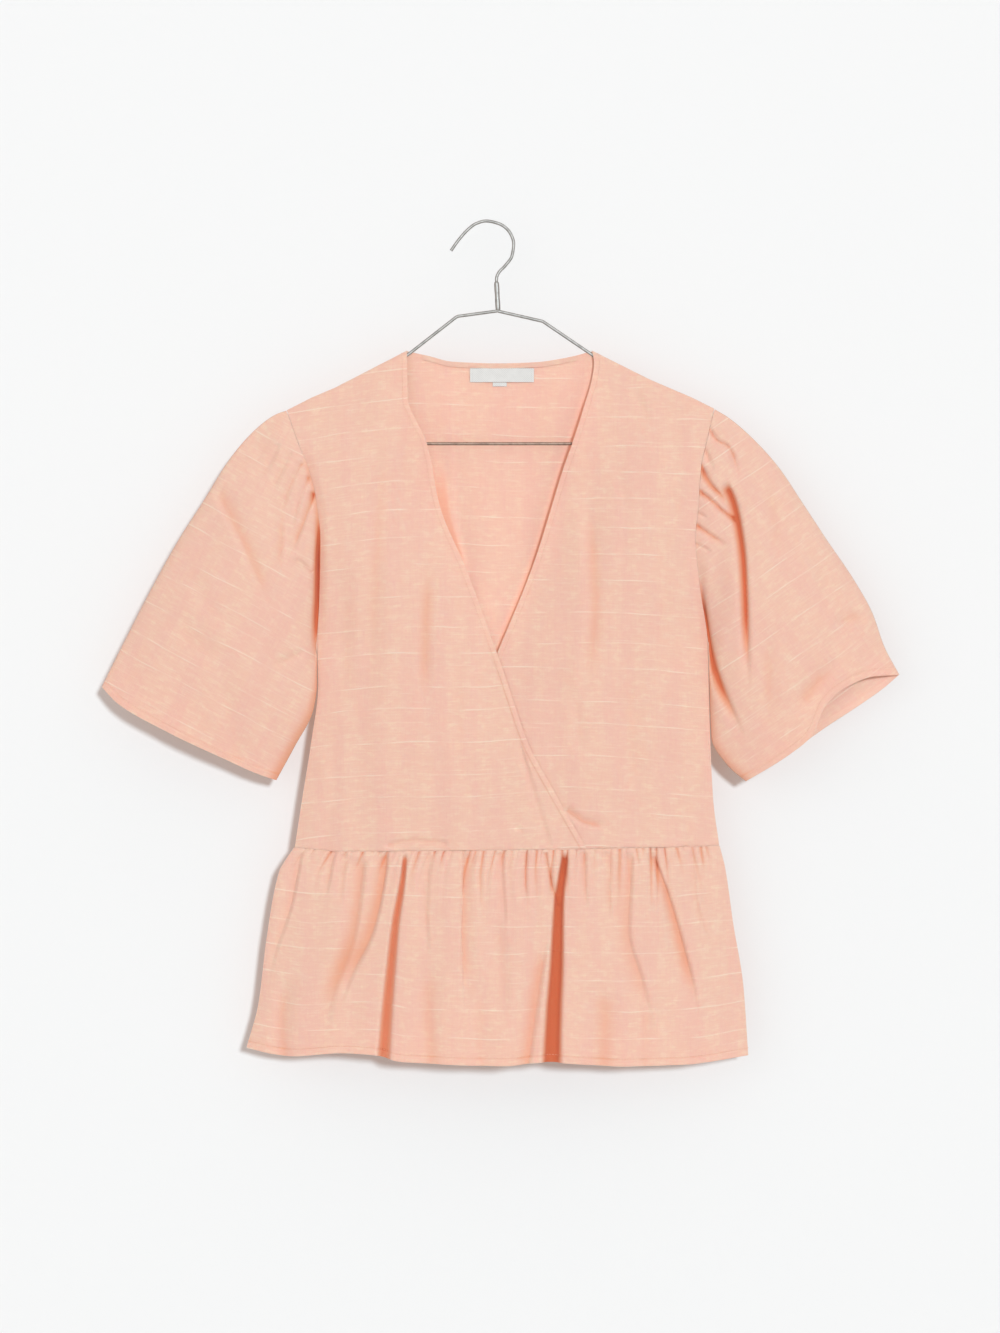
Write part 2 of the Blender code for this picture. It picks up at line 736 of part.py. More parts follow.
def label_grid(centre_x, top, width, height):
    """A flat trim on the inside of the back, moved out from its points."""
    x, drop = np.meshgrid(np.linspace(centre_x - width / 2, centre_x + width / 2, 5),
                          np.linspace(top, top + height, 3))
    depth = -body_depth(x, drop, BACK_DEPTH) + WALL / 2 + LABEL_LIFT + TRIM_WALL / 2
    return place(x, depth, drop)


def add_wire(collection, name, route, diameter, material):
    """A tube along a route of points in millimetres from the hook's crown, in the hanger's plane."""
    curve = bpy.data.curves.new(name, "CURVE")
    curve.dimensions = "3D"
    curve.bevel_depth = diameter * MM / 2
    curve.bevel_resolution = WIRE_SIDES
    curve.use_fill_caps = True
    spline = curve.splines.new("POLY")
    spline.points.add(len(route) - 1)
    for point, (x, z) in zip(spline.points, route):
        point.co = (x * MM, 0.0, z * MM, 1.0)
    curve.materials.append(material)
    wire = bpy.data.objects.new(name, curve)
    collection.objects.link(wire)
    return wire


def rounded(before, corner, after, radius, steps=4):
    """Points of the arc that rounds a corner of the wire."""
    before, corner, after = (np.array(point, float) for point in (before, corner, after))
    back = (before - corner) / np.linalg.norm(before - corner)
    on = (after - corner) / np.linalg.norm(after - corner)
    half = math.acos(np.clip(back @ on, -1, 1)) / 2
    reach = radius / math.tan(half)
    centre = corner + (back + on) / np.linalg.norm(back + on) * radius / math.sin(half)
    start, end = corner + back * reach - centre, corner + on * reach - centre
    turn = math.pi - 2 * half
    shares = np.linspace(0, 1, steps + 1)[:, None]
    arc = (np.sin((1 - shares) * turn) * start + np.sin(shares * turn) * end) / math.sin(turn)
    return [tuple(point) for point in centre + arc]


def arm_route(start, bend, shoulder, corner_x):
    """One side of the hanger: out from the neck, down the shoulder and round the corner to the bar."""
    away = math.copysign(1.0, corner_x - start.x)
    corner = (corner_x, BAR_Z)
    route = [tuple(start)]
    route += rounded(start, bend, shoulder, CORNER_RADIUS)
    route += rounded(bend, shoulder, corner, 3 * CORNER_RADIUS, steps=2)
    route += rounded(shoulder, corner, (start.x, BAR_Z), CORNER_RADIUS)
    route.append((route[-1][0] - away * WIRE, BAR_Z))
    return route


def build():
    for old in list(bpy.data.objects):
        bpy.data.objects.remove(old, do_unlink=True)
    collection = bpy.data.collections.new("peplum_top_on_hanger")
    bpy.context.scene.collection.children.link(collection)
    cotton = (0.82, 0.50, 0.37)

    panels = (
        ("front_over", front_over_grid()),
        ("front_under", front_under_grid()),
        ("back", back_grid()),
        ("peplum_front", peplum_grid(WAIST_GATHERS_FRONT, FRONT_DEPTH, PEPLUM_FRONT_FOLDS, 1)),
        ("peplum_back", peplum_grid(WAIST_GATHERS_BACK, BACK_DEPTH, PEPLUM_BACK_FOLDS, -1)),
        ("back_neck_binding", binding_grid()),
    )
    for name, grid in panels:
        wall = TRIM_WALL if name == "back_neck_binding" else WALL
        mesh = wall_mesh(name, grid, squared_at_edges(normals_of(grid, False)), wall)
        add_piece(collection, name, mesh, principled(name + "_cotton", cotton, 0.9))

    sleeves = (
        ("sleeve_left", LEFT_X, LEFT_EDGE, SLEEVE_LEFT_TOP, SLEEVE_LEFT_UNDER, SLEEVE_LEFT_HEM,
         SLEEVE_LEFT_HEM, SLEEVE_LEFT_FOLDS),
        ("sleeve_right", RIGHT_X, RIGHT_EDGE, SLEEVE_RIGHT_TOP, SLEEVE_RIGHT_UNDER,
         SLEEVE_RIGHT_HEM_FRONT, SLEEVE_RIGHT_HEM_BACK, SLEEVE_RIGHT_FOLDS),
    )
    for name, *edges in sleeves:
        grid = sleeve_grid(*edges)
        mesh = wall_mesh(name, grid, squared_at_armhole(normals_of(grid, True)), WALL, ring=True)
        add_piece(collection, name, mesh, principled(name + "_cotton", cotton, 0.9))

    labels = (
        ("neck_label", label_grid(LABEL_CENTRE_X, LABEL_TOP, LABEL_WIDTH, LABEL_HEIGHT)),
        ("label_tab", label_grid(LABEL_CENTRE_X - 2, LABEL_TOP + LABEL_HEIGHT + SEAM_GAP, TAB_WIDTH, TAB_HEIGHT)),
    )
    for name, grid in labels:
        mesh = wall_mesh(name, grid, squared_at_edges(normals_of(grid, False)), TRIM_WALL)
        add_piece(collection, name, mesh, principled(name + "_white", (0.86, 0.84, 0.8), 0.8))

    steel = (0.5, 0.5, 0.49)
    hook = Route(HOOK)(np.linspace(0, 1, 30))
    arm_left = arm_route(ARM_LEFT_START, ARM_LEFT_BEND, ARM_LEFT_SHOULDER, CORNER_LEFT)
    arm_right = arm_route(ARM_RIGHT_START, ARM_RIGHT_BEND, ARM_RIGHT_SHOULDER, CORNER_RIGHT)
    bar = [(arm_left[-1][0] + JOINT_GAP, BAR_Z), (arm_right[-1][0] - JOINT_GAP, BAR_Z)]
    wires = (
        ("hanger_hook", hook, WIRE),
        ("hanger_neck", (NECK_TOP, NECK_FOOT), NECK_WIRE),
        ("hanger_arm_left", arm_left, WIRE),
        ("hanger_arm_right", arm_right, WIRE),
        ("hanger_bar", bar, WIRE),
    )
    for name, route, diameter in wires:
        add_wire(collection, name, route, diameter, principled(name + "_steel", steel, 0.35, 1.0))


build()
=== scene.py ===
"""Looks of the wrap-front peplum top on its wire hanger.

Each cut piece of cotton is rebuilt from the sizes of its solid, finer and with its creases, gathers,
turned hems and stitching. The hanger, its neck sleeve and the blank label are built here too.

The garment's tables are in millimetres on its front view: x is measured from the centre line and drop
down from the high shoulder points. Depth is measured forwards from the plane of the hanger.
"""

import logging
import math
from dataclasses import dataclass, field, replace
from enum import Enum
from typing import Any, Callable, NamedTuple, Optional, Sequence

import bmesh
import bpy
import numpy as np
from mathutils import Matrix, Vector


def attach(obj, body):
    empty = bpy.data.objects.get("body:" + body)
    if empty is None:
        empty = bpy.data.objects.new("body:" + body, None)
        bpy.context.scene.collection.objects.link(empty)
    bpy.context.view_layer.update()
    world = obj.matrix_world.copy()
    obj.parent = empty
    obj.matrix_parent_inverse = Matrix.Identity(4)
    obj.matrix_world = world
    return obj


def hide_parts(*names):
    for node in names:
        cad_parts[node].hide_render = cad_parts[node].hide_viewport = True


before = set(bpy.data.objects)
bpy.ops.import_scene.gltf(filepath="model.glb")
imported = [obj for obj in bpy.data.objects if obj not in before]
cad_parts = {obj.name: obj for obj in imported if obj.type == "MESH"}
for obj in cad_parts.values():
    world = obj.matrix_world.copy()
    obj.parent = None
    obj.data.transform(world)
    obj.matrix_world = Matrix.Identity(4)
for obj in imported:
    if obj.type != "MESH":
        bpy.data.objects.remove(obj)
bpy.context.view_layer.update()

LOG = logging.getLogger("peplum_top")
Array = np.ndarray
Curve = Callable[[Any], Array]
Colour = tuple[float, float, float]
Piece = bpy.types.Object
Material = bpy.types.Material
Socket = bpy.types.NodeSocket

MM = 0.001
ROOT = "root"

# Angles in degrees past which an edge stays sharp, and how near points are joined, in metres
CLOTH_SHARP = 62
WIRE_SHARP = 50
WELD = 1e-6

# Where the garment hangs from the hook
CENTRE_X = 12.6
SHOULDER_DROP = 115.5


class Edge(NamedTuple):
    """A point of an edge that runs down the garment."""

    drop: float
    x: float


class Across(NamedTuple):
    """A point of an edge that runs across the garment."""

    x: float
    drop: float


class Section(NamedTuple):
    """The cloth's distance from the hanger's plane: at its sides, and in the middle of front and back."""

    drop: float
    side: float
    front: float
    back: float


class Puff(NamedTuple):
    """How far a sleeve's middle stands from the hanger's plane, at a share of the way from armhole to hem."""

    share: float
    depth: float


class Valley(NamedTuple):
    """How deep the armhole seam sinks between the bodice and the sleeve."""

    drop: float
    depth: float


class WirePoint(NamedTuple):
    """A point of the hanger's wire, measured from the hook's crown."""

    x: float
    z: float


def table_of(kind: Callable, *values: Sequence[float]) -> tuple:
    """Makes a table whose rows are of one kind, with its named columns."""
    return tuple(kind(*value) for value in values)


UNDERARM_DROP = 262.0
STITCH_INSET = 0.9
STITCH_LIFT = 0.05
LEFT_EDGE = table_of(
    Edge, (53.6, -191.7), (86.4, -180.0), (102.6, -172.8), (135.0, -164.7), (170.0, -161.1),
    (224.0, -162.2), (UNDERARM_DROP, -164.2), (300.0, -163.4), (354.0, -170.0), (404.0, -178.0),
    (446.4, -184.5))
RIGHT_EDGE = table_of(
    Edge, (52.2, 192.6), (86.4, 184.5), (102.0, 180.9), (147.0, 177.3), (167.0, 175.2), (210.0, 179.1),
    (UNDERARM_DROP, 186.6), (300.0, 187.6), (354.0, 189.2), (404.0, 191.7), (444.8, 197.1))
SHOULDERS = table_of(
    Across, (-191.7, 53.6), (-168.8, 42.0), (-148.5, 33.4), (-83.7, 0.0), (-81.7, -4.0), (80.8, -4.0),
    (82.8, 0.0), (135.0, 26.1), (172.8, 42.3), (192.6, 52.2))
BACK_NECK = table_of(
    Across, (-83.7, 0.0), (-64.8, 4.2), (-43.2, 9.4), (0.0, 11.0), (32.0, 9.9), (61.2, 5.6), (82.8, 0.0))
WAIST = table_of(Across, (-184.5, 446.4), (-142.0, 449.5), (-60.0, 448.6), (77.0, 447.0), (197.1, 444.8))
OVER_EDGE = table_of(
    Edge, (0.0, -83.7), (45.0, -82.8), (57.0, -78.3), (83.7, -65.7), (140.0, -54.0), (194.0, -31.5),
    (272.0, -2.7), (309.0, 9.9), (353.0, 25.2), (395.0, 47.7), (447.0, 77.4))
UNDER_EDGE = table_of(
    Edge, (0.0, 82.8), (11.0, 84.6), (20.0, 83.7), (53.0, 74.7), (84.0, 64.8), (107.0, 56.7), (188.0, 31.5),
    (272.7, -2.7), (360.0, -40.0), (448.8, -77.4))
PEPLUM_LEFT_EDGE = table_of(
    Edge, (446.4, -185.0), (455.0, -191.0), (469.0, -199.0), (530.0, -210.2), (588.0, -217.4),
    (627.0, -228.0))
PEPLUM_RIGHT_EDGE = table_of(
    Edge, (444.8, 197.4), (465.0, 202.5), (515.0, 209.7), (570.0, 218.7), (633.6, 223.2))
HEM = table_of(
    Across, (-228.0, 627.0), (-188.0, 633.6), (-142.0, 630.0), (-116.0, 631.0), (-86.4, 637.2),
    (5.4, 640.4), (40.5, 637.4), (110.7, 641.5), (165.6, 640.6), (223.2, 633.6))
WIRE_ROOM = 1.8
BODY_SECTIONS = table_of(
    Section, (0.0, WIRE_ROOM, 4.0, 3.0), (55.0, WIRE_ROOM, 9.0, 5.0), (90.0, 6.0, 15.0, 8.0),
    (130.0, 10.0, 20.0, 12.0), (170.0, 11.0, 23.0, 13.0), (215.0, 8.0, 24.5, 12.0),
    (245.0, 2.5, 25.0, 11.0), (UNDERARM_DROP, 0.0, 25.0, 11.0), (350.0, 0.0, 24.0, 11.0),
    (448.0, 0.0, 20.0, 11.0), (480.0, 0.0, 23.0, 13.0), (540.0, 0.0, 27.0, 14.0), (642.0, 0.0, 31.0, 15.0))

SLEEVE_LEFT_TOP = table_of(
    Across, (-192.3, 54.0), (-201.2, 57.2), (-218.7, 69.8), (-243.0, 97.4), (-264.6, 132.0),
    (-288.9, 170.1), (-310.5, 208.6), (-337.5, 261.0), (-358.2, 302.4))
SLEEVE_LEFT_UNDER = table_of(
    Across, (-165.2, 263.2), (-165.0, 300.0), (-168.0, 322.0), (-185.4, 356.4), (-201.6, 386.1))
SLEEVE_LEFT_HEM = table_of(
    Across, (-201.6, 386.1), (-216.0, 381.0), (-256.5, 362.5), (-297.0, 343.2), (-342.9, 317.4),
    (-358.2, 302.4))
SLEEVE_RIGHT_TOP = table_of(
    Across, (193.2, 52.8), (205.7, 60.4), (229.5, 81.2), (251.1, 105.6), (270.0, 133.8), (294.3, 170.8),
    (318.6, 206.6), (334.8, 235.8), (345.6, 266.2), (359.1, 291.6))
SLEEVE_RIGHT_UNDER = table_of(
    Across, (187.7, 263.2), (188.8, 300.0), (190.6, 348.0), (205.0, 372.6), (221.4, 387.0))
SLEEVE_RIGHT_HEM_FRONT = table_of(
    Across, (221.4, 387.0), (259.2, 363.0), (279.0, 346.0), (291.6, 319.0), (310.5, 302.4), (337.5, 292.6),
    (359.1, 291.6))
SLEEVE_RIGHT_HEM_BACK = table_of(
    Across, (221.4, 387.0), (259.2, 363.5), (294.3, 338.5), (324.0, 319.0), (345.0, 304.0), (359.1, 291.6))
PUFF_FRONT = table_of(Puff, (0.0, 12.0), (0.25, 22.0), (0.6, 25.0), (1.0, 14.5))
PUFF_BACK = table_of(Puff, (0.0, 10.0), (0.25, 13.0), (0.6, 14.0), (1.0, 9.0))
LEFT_VALLEY = table_of(
    Valley, (60.0, 0.0), (88.0, 0.8), (105.0, 3.2), (150.0, 3.6), (180.0, 4.4), (215.0, 3.8), (245.0, 1.8),
    (264.0, 0.0))
RIGHT_VALLEY = table_of(Valley, (52.0, 0.0), (120.0, 1.0), (185.0, 1.2), (235.0, 1.8), (264.0, 0.0))


def smooth_step(value: Array) -> Array:
    """Rises from 0 to 1 as the value does, easing at both ends."""
    value = np.clip(value, 0, 1)
    return value * value * (3 - 2 * value)


class Profile:
    """A smooth curve through the rows of a table, with no overshoot: its second column by its first."""

    def __init__(self, rows: Sequence[Sequence[float]]) -> None:
        """Reads the table.

        Args:
            rows: At least two rows, with the first column rising.
        """
        table = np.array([tuple(row)[:2] for row in rows], float)
        self.keys, self.values = table.T
        rises = np.diff(self.values) / np.diff(self.keys)
        product, total = rises[:-1] * rises[1:], rises[:-1] + rises[1:]
        turning = product <= 0
        inner = np.where(turning, 0.0, 2 * product / np.where(turning, 1.0, total))
        self.slopes = np.concatenate([rises[:1], inner, rises[-1:]])

    def __call__(self, key: Any) -> Array:
        """Reads the curve.

        Args:
            key: A value or an array of values of the first column.

        Returns:
            The second column's value at each key.
        """
        key = np.clip(key, self.keys[0], self.keys[-1])
        last = np.clip(np.searchsorted(self.keys, key, side="right"), 1, len(self.keys) - 1)
        first = last - 1
        span = self.keys[last] - self.keys[first]
        part = (key - self.keys[first]) / span
        ease = part * part * (3 - 2 * part)
        rise = self.slopes[first] * part * (1 - part) ** 2 - self.slopes[last] * part * part * (1 - part)
        return self.values[first] * (1 - ease) + self.values[last] * ease + span * rise


def body_section(column: str) -> Profile:
    """The depth in one column of the bodice's and skirt's sections, by its drop."""
    return Profile([(row.drop, getattr(row, column)) for row in BODY_SECTIONS])


class Route:
    """A smooth curve through flat points, read by its share of the way along."""

    def __init__(self, rows: Sequence[Sequence[float]]) -> None:
        """Reads the points.

        Args:
            rows: Two coordinates for each point, in order along the route.
        """
        points = np.array([tuple(row)[:2] for row in rows], float)
        steps = np.linalg.norm(np.diff(points, axis=0), axis=1)
        shares = np.concatenate([[0.0], np.cumsum(steps)]) / steps.sum()
        self.length = float(steps.sum())
        self.x = Profile(np.column_stack([shares, points[:, 0]]))
        self.y = Profile(np.column_stack([shares, points[:, 1]]))

    def __call__(self, share: Any) -> Array:
        """The points at these shares of the way along."""
        return np.stack([self.x(share), self.y(share)], axis=-1)


def place(x: Any, depth: Any, drop: Any) -> Array:
    """World position in metres of a point of the garment given in millimetres."""
    return np.stack([(CENTRE_X + x) * MM, -depth * MM, -(SHOULDER_DROP + drop) * MM], axis=-1)


def shoulder_drop(x: Any) -> Array:
    """The drop of the shoulder seam, and across the neck that of a line a little above its high points."""
    table = np.array(SHOULDERS)
    return np.interp(x, table[:, 0], table[:, 1])


def edge_between(profile: Profile, start: float, end: float) -> Curve:
    """An edge that runs down the garment.

    Args:
        profile: Its x by its drop.
        start: The drop where it starts.
        end: The drop where it ends.

    Returns:
        A function from a share of the way down to points.
    """
    def edge(share: Any) -> Array:
        """The points at these shares."""
        drop = start + (end - start) * np.asarray(share, float)
        return np.stack([profile(drop), drop], axis=-1)
    return edge


def edge_across(drop_at: Curve, start_x: float, end_x: float) -> Curve:
    """An edge that runs across the garment.

    Args:
        drop_at: Its drop by its x.
        start_x: The x where it starts.
        end_x: The x where it ends.

    Returns:
        A function from a share of the way across to points.
    """
    def edge(share: Any) -> Array:
        """The points at these shares."""
        x = start_x + (end_x - start_x) * np.asarray(share, float)
        return np.stack([x, drop_at(x)], axis=-1)
    return edge


def coons(top: Curve, bottom: Curve, left: Curve, right: Curve, across: Array,
          down: Array) -> tuple[Array, Array]:
    """A patch inside four edges.

    Args:
        top: The upper edge, read by across.
        bottom: The lower edge, read by across.
        left: The left edge, read by down.
        right: The right edge, read by down.
        across: Shares of the way across, one for each column.
        down: Shares of the way down, one for each row.

    Returns:
        The x and the drop of each point of the grid.
    """
    across, down = np.meshgrid(across, down)
    u, v = across[..., None], down[..., None]
    flat = (1 - v) * top(across) + v * bottom(across) + (1 - u) * left(down) + u * right(down)
    corners = ((1 - u) * (1 - v) * left(0.0) + u * (1 - v) * right(0.0)
               + (1 - u) * v * left(1.0) + u * v * right(1.0))
    x, drop = np.moveaxis(flat - corners, -1, 0)
    return x, drop


class Span(NamedTuple):
    """A stretch of a piece and how finely it is divided."""

    length: float
    pitch: float


def divisions(*spans: Span) -> Array:
    """Shares of a length made up of stretches that are divided more or less finely.

    Args:
        *spans: The stretches in order.

    Returns:
        Shares from 0 to 1.
    """
    counts = [max(1, round(span.length / span.pitch)) for span in spans]
    steps = np.concatenate([np.full(count, span.length / count) for span, count in zip(spans, counts)])
    marks = np.concatenate([[0.0], np.cumsum(steps)])
    return marks / marks[-1]


class CreaseForm(Enum):
    """The section of a crease: a round trough, a pressed line or a flat-bottomed pleat."""

    SOFT = "soft"
    LINE = "line"
    PLEAT = "pleat"

    def section(self, away: Array) -> Array:
        """Share of the crease's depth at a distance from its line.

        Args:
            away: Distance in half widths.

        Returns:
            From 1 on the line to 0 far from it.
        """
        if self is CreaseForm.SOFT:
            return np.exp(-away ** 2)
        if self is CreaseForm.LINE:
            return np.exp(0.3 - np.sqrt(away ** 2 + 0.09))
        return np.exp(-away ** 4)


@dataclass(frozen=True)
class Crease:
    """A trough along a route, in millimetres on the front view."""

    route: tuple[tuple[float, float], ...]
    half_width: float
    depth: float
    form: CreaseForm = CreaseForm.SOFT
    lean: float = 0.0
    spread: float = 1.0
    begins: bool = False
    opens: bool = False
    # How strongly the crease's painted shade shows
    painted_shading: float = 1.0

    def nearest(self, x: Array, drop: Array) -> tuple[Array, Array]:
        """Finds where each point lies along and beside the route.

        Args:
            x: The points' x.
            drop: The points' drop.

        Returns:
            The share of the way along, and the distance to the side, positive to the viewer's right.
        """
        points = Route(self.route)(np.linspace(0, 1, 5 * len(self.route)))
        steps = np.diff(points, axis=0)
        lengths = np.linalg.norm(steps, axis=1)
        nearest = np.full(np.shape(x), np.inf)
        side = np.zeros(np.shape(x))
        share = np.zeros(np.shape(x))
        walked = 0.0
        for start, step, length in zip(points[:-1], steps, lengths):
            way = step / length
            off_x, off_drop = x - start[0], drop - start[1]
            along = np.clip(off_x * way[0] + off_drop * way[1], 0, length)
            away = np.hypot(off_x - along * way[0], off_drop - along * way[1])
            closer = away < nearest
            share = np.where(closer, (walked + along) / lengths.sum(), share)
            side = np.where(closer, np.sign(off_x * way[1] - off_drop * way[0]), side)
            nearest = np.minimum(away, nearest)
            walked += length
        return share, nearest * side

    def depth_at(self, x: Array, drop: Array) -> tuple[Array, Array]:
        """How deep the crease is at each point.

        Args:
            x: The points' x.
            drop: The points' drop.

        Returns:
            Depths in millimetres, and those that set its painted shade, a little way up its banks too.
        """
        share, offset = self.nearest(x, drop)
        half = self.half_width * (1 + (self.spread - 1) * share ** 0.7)
        half = half * (1 + self.lean * np.where(offset < 0, 1.0, -1.0))
        strength = smooth_step(share / (0.05 if self.begins else 0.35))
        if not self.opens:
            strength = strength * smooth_step((1 - share) / 0.4)
        away = np.abs(offset) / half
        deep = self.depth * strength
        return deep * self.form.section(away), self.painted_shading * deep * self.form.section(away / 1.16)


def total_depth(creases: Sequence[Crease], x: Array, drop: Array) -> tuple[Array, Array]:
    """How deep a set of creases is at each point, the deepest ones counting most where they cross.

    Args:
        creases: The creases of one piece.
        x: The points' x.
        drop: The points' drop.

    Returns:
        Depths in millimetres, and those that set the cloth's painted shade.
    """
    stack = np.stack([crease.depth_at(x, drop) for crease in creases])
    depth, wider = (stack ** 1.5).sum(0) ** (1 / 1.5)
    return depth, wider


def undulation(x: Array, drop: Array) -> Array:
    """The cotton's slow rise and fall, mostly in bands that run down it.

    Args:
        x: The points' x.
        drop: The points' drop.

    Returns:
        Heights in millimetres.
    """
    broad = 0.55 * np.sin(x / 9.7 + 0.9 * np.sin(drop / 85))
    narrow = 0.3 * np.sin(x / 5.6 + 1.3 + 0.8 * np.sin(drop / 47))
    slanted = 0.3 * np.sin((x + 0.7 * drop) / 14.3)
    level = 0.18 * np.sin(drop / 7.5 + 1.4 * np.sin(x / 31))
    return broad + narrow + slanted + level


SOFT, LINE, PLEAT = CreaseForm.SOFT, CreaseForm.LINE, CreaseForm.PLEAT
BODICE_FRONT_CREASES = (
    Crease(((-99, 40), (-112, 206), (-117, 341)), 9, 3.0),
    Crease(((-63, 165), (-67, 260), (-68, 350)), 7, 4.0),
    Crease(((-88, 60), (-92, 130), (-86, 210)), 7, 1.8),
    Crease(((-38, 250), (-36, 340), (-30, 430)), 9, 2.4),
    Crease(((76, 98), (85, 229), (72, 350)), 7.5, 3.8),
    Crease(((120, 30), (128, 52), (136, 76)), 4.5, 1.6),
    Crease(((13.5, 341), (28, 386), (44, 441)), 3.2, 2.4, lean=0.5, opens=True),
    Crease(((58, 412), (76, 424), (90, 427), (102, 424)), 3.4, 4.2, lean=-0.5, begins=True),
    Crease(((-103, 445), (-79, 440), (-50, 442)), 2.6, 2.8, begins=True, opens=True),
    Crease(((12, 426), (22, 432)), 2.2, 1.6),
    Crease(((63, 296), (70, 330), (72, 372)), 6, 2.2),
    Crease(((112, 251), (118, 340), (121, 431)), 9, 2.5),
    Crease(((-140, 190), (-139, 260), (-142, 330)), 8, 2.0),
    Crease(((150, 120), (146, 200), (151, 300)), 9, 2.2),
    Crease(((-150, 330), (-148, 390), (-156, 446)), 7, 1.6, opens=True),
    Crease(((160, 330), (163, 400), (166, 446)), 8, 1.4, opens=True),
    Crease(((100, 60), (112, 150), (110, 230)), 6, 1.2),
)
BODICE_BACK_CREASES = (
    Crease(((-44, 14), (-44, 107), (-41, 152), (-31, 200)), 7, 1.4, lean=0.5, spread=0.7, opens=True),
    Crease(((-100, 60), (-108, 200), (-112, 360)), 10, 2.2),
    Crease(((28, 60), (26, 200), (30, 330)), 12, 1.6),
    Crease(((95, 50), (104, 190), (98, 380)), 10, 2.2),
    Crease(((-20, 300), (-24, 380), (-22, 446)), 8, 2.2, opens=True),
    Crease(((60, 360), (62, 446)), 6, 1.8, opens=True),
    Crease(((-150, 280), (-152, 370), (-158, 446)), 7, 1.8, opens=True),
    Crease(((150, 290), (156, 370), (162, 446)), 7, 1.8, opens=True),
)
PEPLUM_FRONT_CREASES = (
    Crease(((-85, 449), (-87, 472), (-94, 515), (-97, 544), (-101.5, 593), (-105, 642)), 1.8, 6.6,
           PLEAT, lean=-0.1, spread=3.2, begins=True, opens=True),
    Crease(((59, 449), (55, 476), (52.5, 500), (50.5, 552), (48, 593), (46, 644)), 2.4, 9.0,
           PLEAT, spread=3.3, begins=True, opens=True),
    Crease(((41, 449), (46, 476), (52, 498)), 1.8, 4.6, LINE, lean=0.3, begins=True, opens=True),
    Crease(((44, 512), (36, 562), (24, 644)), 7, 5.0, lean=0.6, opens=True, painted_shading=0.78),
    Crease(((-32, 449), (-34, 521), (-31, 604)), 5.0, 4.2, lean=-0.75, begins=True, painted_shading=0.78),
    Crease(((1, 449), (4.5, 522)), 4.0, 3.6, lean=0.5, begins=True, painted_shading=0.7),
    Crease(((-7, 480), (3, 560), (1, 620)), 8, 2.4, lean=0.3),
    Crease(((76, 449), (77.5, 506)), 2.4, 3.6, LINE, lean=0.5, begins=True),
    Crease(((98, 449), (99, 522)), 3.6, 3.0, lean=0.6, begins=True),
    Crease(((119, 449), (115, 521), (127, 566), (141, 628)), 4.0, 4.6, lean=0.7, spread=2.6, begins=True,
           painted_shading=0.74),
    Crease(((137, 449), (153, 494), (165, 537), (175, 580), (178, 612)), 3.0, 5.8, lean=0.7, spread=2.4,
           begins=True, painted_shading=0.78),
    Crease(((-178, 449), (-188, 499), (-201, 537), (-213, 584)), 4.4, 4.8, lean=0.75, spread=1.5, begins=True,
           painted_shading=0.6),
    Crease(((-148, 449), (-157, 492)), 3.4, 3.0, lean=0.6, begins=True),
    Crease(((-138, 451), (-144, 505)), 3.4, 2.4, lean=0.5, begins=True),
    Crease(((-100, 449), (-106, 489), (-115, 524), (-134, 562), (-148, 600)), 4.6, 5.8, lean=0.75,
           spread=1.9, begins=True, painted_shading=0.78),
    Crease(((-122, 454), (-131, 521), (-152, 584), (-160, 634)), 5.5, 4.6, lean=0.5, spread=1.8, begins=True,
           painted_shading=0.78),
    Crease(((-190, 560), (-196, 600), (-194, 636)), 8, 3.2, opens=True),
    Crease(((-60, 540), (-64, 590), (-60, 642)), 10, 3.2, opens=True),
    Crease(((-14, 560), (-18, 600), (-16, 644)), 8, 2.4, opens=True),
    Crease(((90, 560), (94, 600), (92, 644)), 12, 3.4, opens=True),
    Crease(((126, 580), (130, 610), (130, 644)), 8, 2.4, opens=True),
    Crease(((205, 480), (206, 540), (208, 600)), 6, 2.2),
    Crease(((-62, 449), (-66, 500), (-64, 550)), 4.0, 2.6, lean=0.5, begins=True),
    Crease(((24, 449), (22, 500)), 3.4, 2.4, lean=0.5, begins=True),
    Crease(((172, 449), (178, 500), (190, 540)), 4.0, 2.6, lean=0.6, begins=True),
)
PEPLUM_BACK_CREASES = (
    Crease(((-140, 449), (-150, 520), (-158, 642)), 2.6, 9.0, PLEAT, spread=2.8, begins=True, opens=True),
    Crease(((-70, 449), (-74, 530), (-82, 644)), 4.6, 7.5, lean=0.7, spread=2.2, begins=True, opens=True,
           painted_shading=0.78),
    Crease(((-20, 449), (-16, 520), (-10, 644)), 5.0, 6.0, lean=-0.6, spread=2.0, begins=True, opens=True,
           painted_shading=0.78),
    Crease(((45, 449), (52, 520), (60, 644)), 2.4, 10.0, PLEAT, spread=3.0, begins=True, opens=True),
    Crease(((110, 449), (118, 520), (124, 644)), 4.6, 6.5, lean=0.7, spread=2.0, begins=True, opens=True,
           painted_shading=0.78),
    Crease(((160, 449), (168, 520), (176, 612)), 4.6, 4.6, lean=0.5, spread=1.8, begins=True, painted_shading=0.6),
    Crease(((-178, 449), (-186, 520), (-196, 604)), 4.6, 4.2, lean=0.5, spread=1.8, begins=True, painted_shading=0.6),
    Crease(((-105, 449), (-110, 524)), 3.4, 3.4, lean=0.5, begins=True),
    Crease(((16, 449), (18, 544)), 3.4, 3.4, lean=-0.5, begins=True),
    Crease(((84, 449), (84, 514)), 3.4, 3.0, lean=0.5, begins=True),
)
